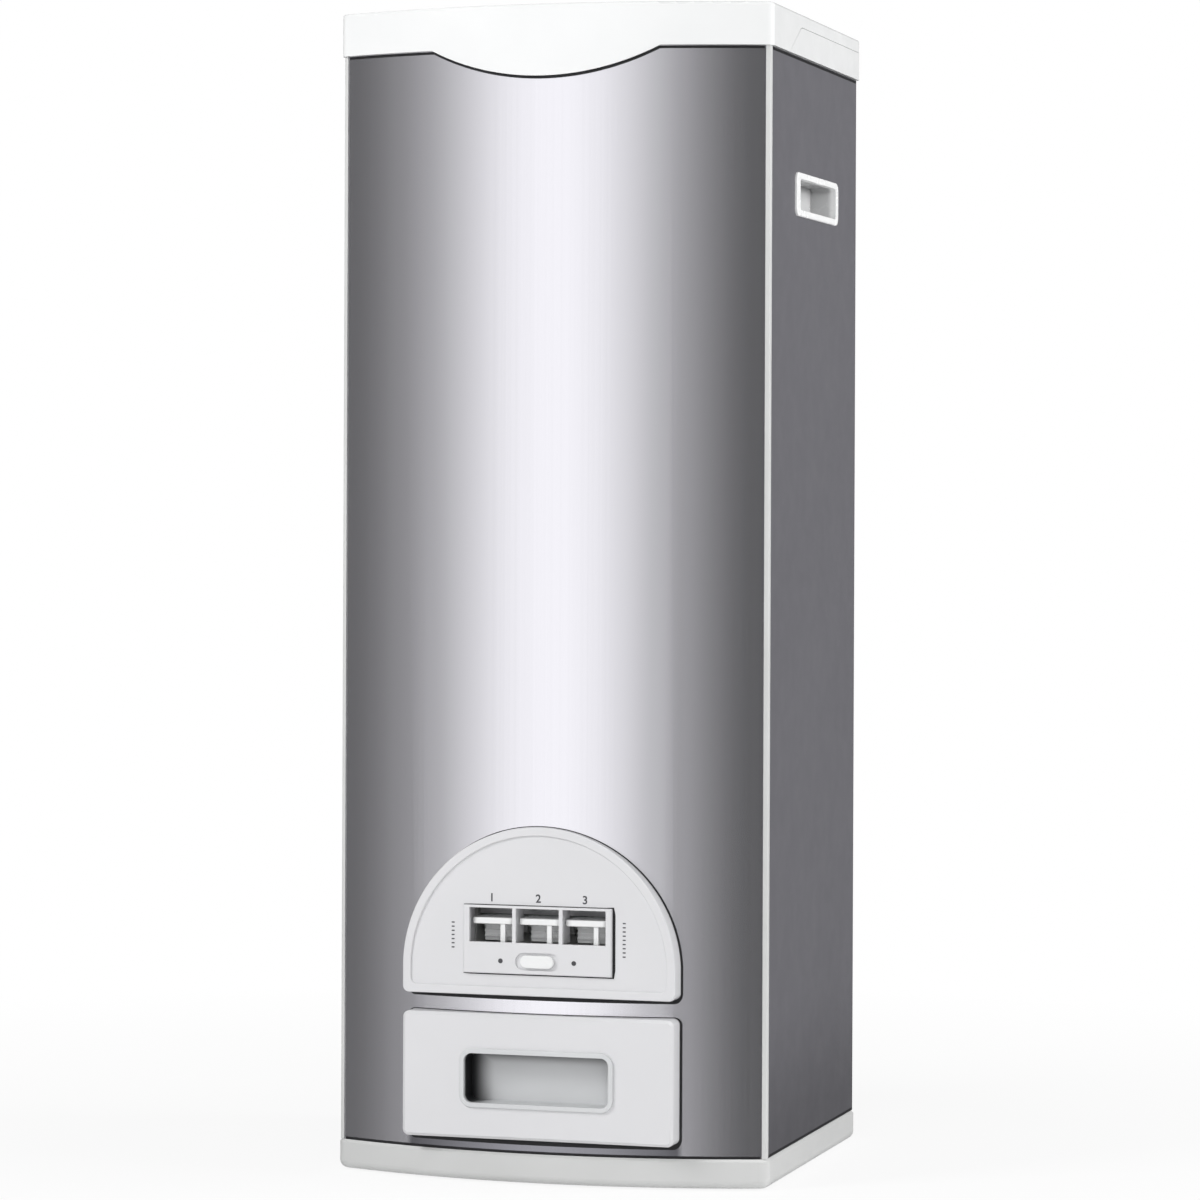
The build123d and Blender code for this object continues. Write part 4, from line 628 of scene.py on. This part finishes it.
def add_sheet_seams(dark):
    """Dark lines of painted shade in the joints under the collar and along the foot, on the front sheet and
    on both side sheets.
    """
    # dark beads of painted shade in the joints where the sheets meet the collar and the base
    shape = bmesh.new()
    end = high("front_panel").x - FRONT_SEAM_SHORT
    rise = Vector((0, -FRONT_SEAM_RISE, 0))
    for z in seam_heights("front_panel"):
        bead(shape, [
            (Vector((x, bow_y(x) - SKIN, z)), HALF_LINE, rise) for x in evenly(-end, end, LINE_STEPS)
        ])
    first = low("right_side_panel").y + SIDE_SEAM_SHORT_FRONT
    last = high("right_side_panel").y - SIDE_SEAM_SHORT_BACK
    for side in (-1, 1):
        face = side * (HALF_WIDTH + SKIN)
        rise = Vector((side * SIDE_SEAM_RISE, 0, 0))
        for z in seam_heights("right_side_panel"):
            bead(shape, [
                (Vector((face, y, z)), HALF_LINE, rise) for y in evenly(first, last, SIDE_SEAM_STEPS)
            ])
    new_piece("sheet_seam_shade", shape, dark, "cabinet")


OUTLINE_STEP = 4 * MM
SAME_PLACE = 5  # decimals of a metre to which two corners count as one
PLATE_SHADOW_GAP = 0.1 * MM  # between a plate's edge and its shadow line
PLATE_SHADOW_RISE = 0.3 * MM


def front_outline(node):
    """Places along a node's outline seen from the front, each with the direction out of it."""
    vertices = NODES[node].data.vertices
    spots = sorted({(round(v.co.x, SAME_PLACE), round(v.co.z, SAME_PLACE)) for v in vertices})
    corners = [Vector(spots[index]) for index in convex_hull_2d(spots)]
    centre = sum(corners, Vector((0, 0))) / len(corners)
    ring = []
    for start, end in zip(corners, corners[1:] + corners[:1]):
        steps = max(1, round((end - start).length / OUTLINE_STEP))
        ring += [start.lerp(end, step / steps) for step in range(steps)]
    made = []
    for before, spot, after in zip(ring[-1:] + ring[:-1], ring, ring[1:] + ring[:1]):
        along = (spot - before).normalized() + (after - spot).normalized()
        out = Vector((along.y, -along.x)).normalized()
        if out.dot(spot - centre) < 0:
            out = -out
        made.append((spot, out))
    return made


def plate_seam(name, node, surface_y, material, right, left, top, foot):
    """A dark line of painted shadow on the surface round the foot of a plate, with a width of its own on each
    side.
    """
    spine = []
    for spot, out in front_outline(node):
        width = out.x**2 * (right if out.x > 0 else left) + out.y**2 * (top if out.y > 0 else foot)
        inner = spot + out * PLATE_SHADOW_GAP
        outer = inner + out * width
        one, other = (Vector((end.x, surface_y(end.x) - SKIN, end.y)) for end in (inner, outer))
        spine.append(((one + other) / 2, (other - one) / 2, Vector((0, -PLATE_SHADOW_RISE, 0))))
    shape = bmesh.new()
    bead(shape, spine, closed=True)
    new_piece(name, shape, material, "cabinet")


def add_plate_seams(dark):
    """Painted shadow lines round the control plate and the drawer front, widest at the foot, and round the
    window insert.
    """
    # painted shadow lines, widest on the sides where the plate's shadow falls
    plate_seam(
        "dome_shadow_line", "control_bezel", bow_y, dark,
        right=1.4 * MM, left=1.0 * MM, top=0.5 * MM, foot=2.8 * MM,
    )
    plate_seam(
        "drawer_shadow_line", "drawer_front", bow_y, dark,
        right=1.6 * MM, left=1.0 * MM, top=0.5 * MM, foot=3.4 * MM,
    )
    plate_seam(
        "insert_shadow_line", "window_insert", lambda x: PLATE_FACE_Y, dark,
        right=1.7 * MM, left=0.4 * MM, top=0.4 * MM, foot=0.8 * MM,
    )


# ---------------------------------------------------------------- printed marks
INK = 0.12 * MM  # thickness of every mark
NUMBER_SIZE = 7.2 * MM
NUMBER_BOLDER = 0.12 * MM  # added to the outline of a number on each side
NUMBER_OVER = 4.6 * MM  # from the insert's top to the middle of a number
NUMBER_OUT = 0.05 * MM  # from the plate's face to the middle of a number's thickness
DOT_WIDTH = 3.0 * MM
DOT_CORNER = 1.49 * MM  # nearly half the width, so that the dot is round
DOT_FROM_SWITCH = 24.0 * MM
DASH_WIDTH, DASH_HEIGHT = 2.0 * MM, 0.8 * MM
DASH_CORNER = 0.3 * MM
DASH_PITCH = 2.6 * MM
DASHES_FROM_MIDDLE = 56.0 * MM
DASHES_UP = 2.0 * MM  # from the insert's middle to that of each column
DASH_COUNTS = ((-1, 7), (1, 9))  # side and number of dashes


def add_numbers(ink):
    """A plain number over each window."""
    upright = Matrix.Rotation(math.radians(90), 4, "X")
    number_z = high("window_insert").z + NUMBER_OVER
    for index in LEVERS:
        curve = bpy.data.curves.new(f"number_{index}", "FONT")
        curve.body = str(index)
        curve.size = NUMBER_SIZE
        curve.align_x = "CENTER"
        curve.align_y = "CENTER"
        curve.extrude = INK / 2
        curve.offset = NUMBER_BOLDER
        curve.materials.append(ink)
        number = bpy.data.objects.new(f"number_{index}", curve)
        SCENE.collection.objects.link(number)
        place = (middle(f"lever_{index}").x, PLATE_FACE_Y - NUMBER_OUT, number_z)
        number.matrix_world = Matrix.Translation(place) @ upright
        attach(number, "cabinet")


def flat_mark(shape, x, surface_y, z, width, height, corner, corner_steps):
    """A thin rounded rectangle of ink on an upright surface, seen from the front."""
    half_x, half_z = width / 2 - corner, height / 2 - corner
    outline = []
    for quarter, (side_x, side_z) in enumerate(((1, 1), (-1, 1), (-1, -1), (1, -1))):
        for angle in evenly(math.radians(90 * quarter), math.radians(90 * quarter + 90), corner_steps):
            outline.append((
                x + side_x * half_x + corner * math.cos(angle), z + side_z * half_z + corner * math.sin(angle)
            ))
    depths = (surface_y, surface_y - INK)
    join_rings(shape, [[shape.verts.new((spot_x, y, spot_z)) for spot_x, spot_z in outline] for y in depths])


def add_switch_marks(ink):
    """A dot on each side of the slide switch."""
    shape = bmesh.new()
    for side in (-1, 1):
        flat_mark(
            shape, side * DOT_FROM_SWITCH, low("window_insert").y, middle("slide_knob").z,
            DOT_WIDTH, DOT_WIDTH, DOT_CORNER, corner_steps=10,
        )
    new_piece("switch_marks", shape, ink, "cabinet")


def add_side_dashes(ink):
    """A column of short dashes on the plate at each side of the windows."""
    shape = bmesh.new()
    column_z = middle("window_insert").z + DASHES_UP
    for side, count in DASH_COUNTS:
        for row in range(count):
            dash_z = column_z + (row - (count - 1) / 2) * DASH_PITCH
            flat_mark(
                shape, side * DASHES_FROM_MIDDLE, PLATE_FACE_Y, dash_z,
                DASH_WIDTH, DASH_HEIGHT, DASH_CORNER, corner_steps=4,
            )
    new_piece("side_dashes", shape, ink, "cabinet")


# ---------------------------------------------------------------- return springs
COIL_TURNS = 6
COIL_STEPS = 20  # round one turn
WIRE_SIDES = 8
WIRE = 0.8 * MM
COIL_PLAY = 0.35 * MM  # between the coil and the plain spring's outline, so that it clears the lever's step


def coil_shape(node):
    """A coil of round wire in the box of a node."""
    first, centre, last = low(node), middle(node), high(node)
    radius = (last.x - first.x) / 2 - WIRE / 2 - COIL_PLAY
    height = last.z - first.z - WIRE
    climb = height / COIL_TURNS / (2 * math.pi * radius)
    total = COIL_TURNS * COIL_STEPS
    shape = bmesh.new()
    rings = []
    for step in range(total + 1):
        turn = 2 * math.pi * step / COIL_STEPS
        out = Vector((math.cos(turn), math.sin(turn), 0))
        across = out.cross(Vector((-math.sin(turn), math.cos(turn), climb)).normalized())
        place = Vector((centre.x, centre.y, first.z + WIRE / 2 + height * step / total)) + out * radius
        ring = []
        for side in range(WIRE_SIDES):
            angle = 2 * math.pi * side / WIRE_SIDES
            offset = out * math.cos(angle) + across * math.sin(angle)
            ring.append(shape.verts.new(place + offset * WIRE / 2))
        rings.append(ring)
    join_rings(shape, rings)
    return shape


def add_return_springs(steel):
    """Round-wire coils in the place of the CAD springs, which are hidden."""
    for index in LEVERS:
        node = f"return_spring_{index}"
        coil = new_piece(f"coil_{index}", coil_shape(node), steel, "cabinet", smooth=True)
        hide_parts(node)
        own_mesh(coil)


add_camera()
add_world()
add_lamps()
add_reflection_card()
add_floor()
MATERIALS = make_materials()
dress_nodes(MATERIALS)
add_tongue_seal(MATERIALS["joint_shade_line"])
add_sheet_seams(MATERIALS["joint_shade_line"])
add_plate_seams(MATERIALS["joint_shade_line"])
add_numbers(MATERIALS["ink"])
add_switch_marks(MATERIALS["ink"])
add_side_dashes(MATERIALS["ink"])
add_return_springs(MATERIALS["bright_steel"])
SCENE.view_settings.view_transform = "Standard"
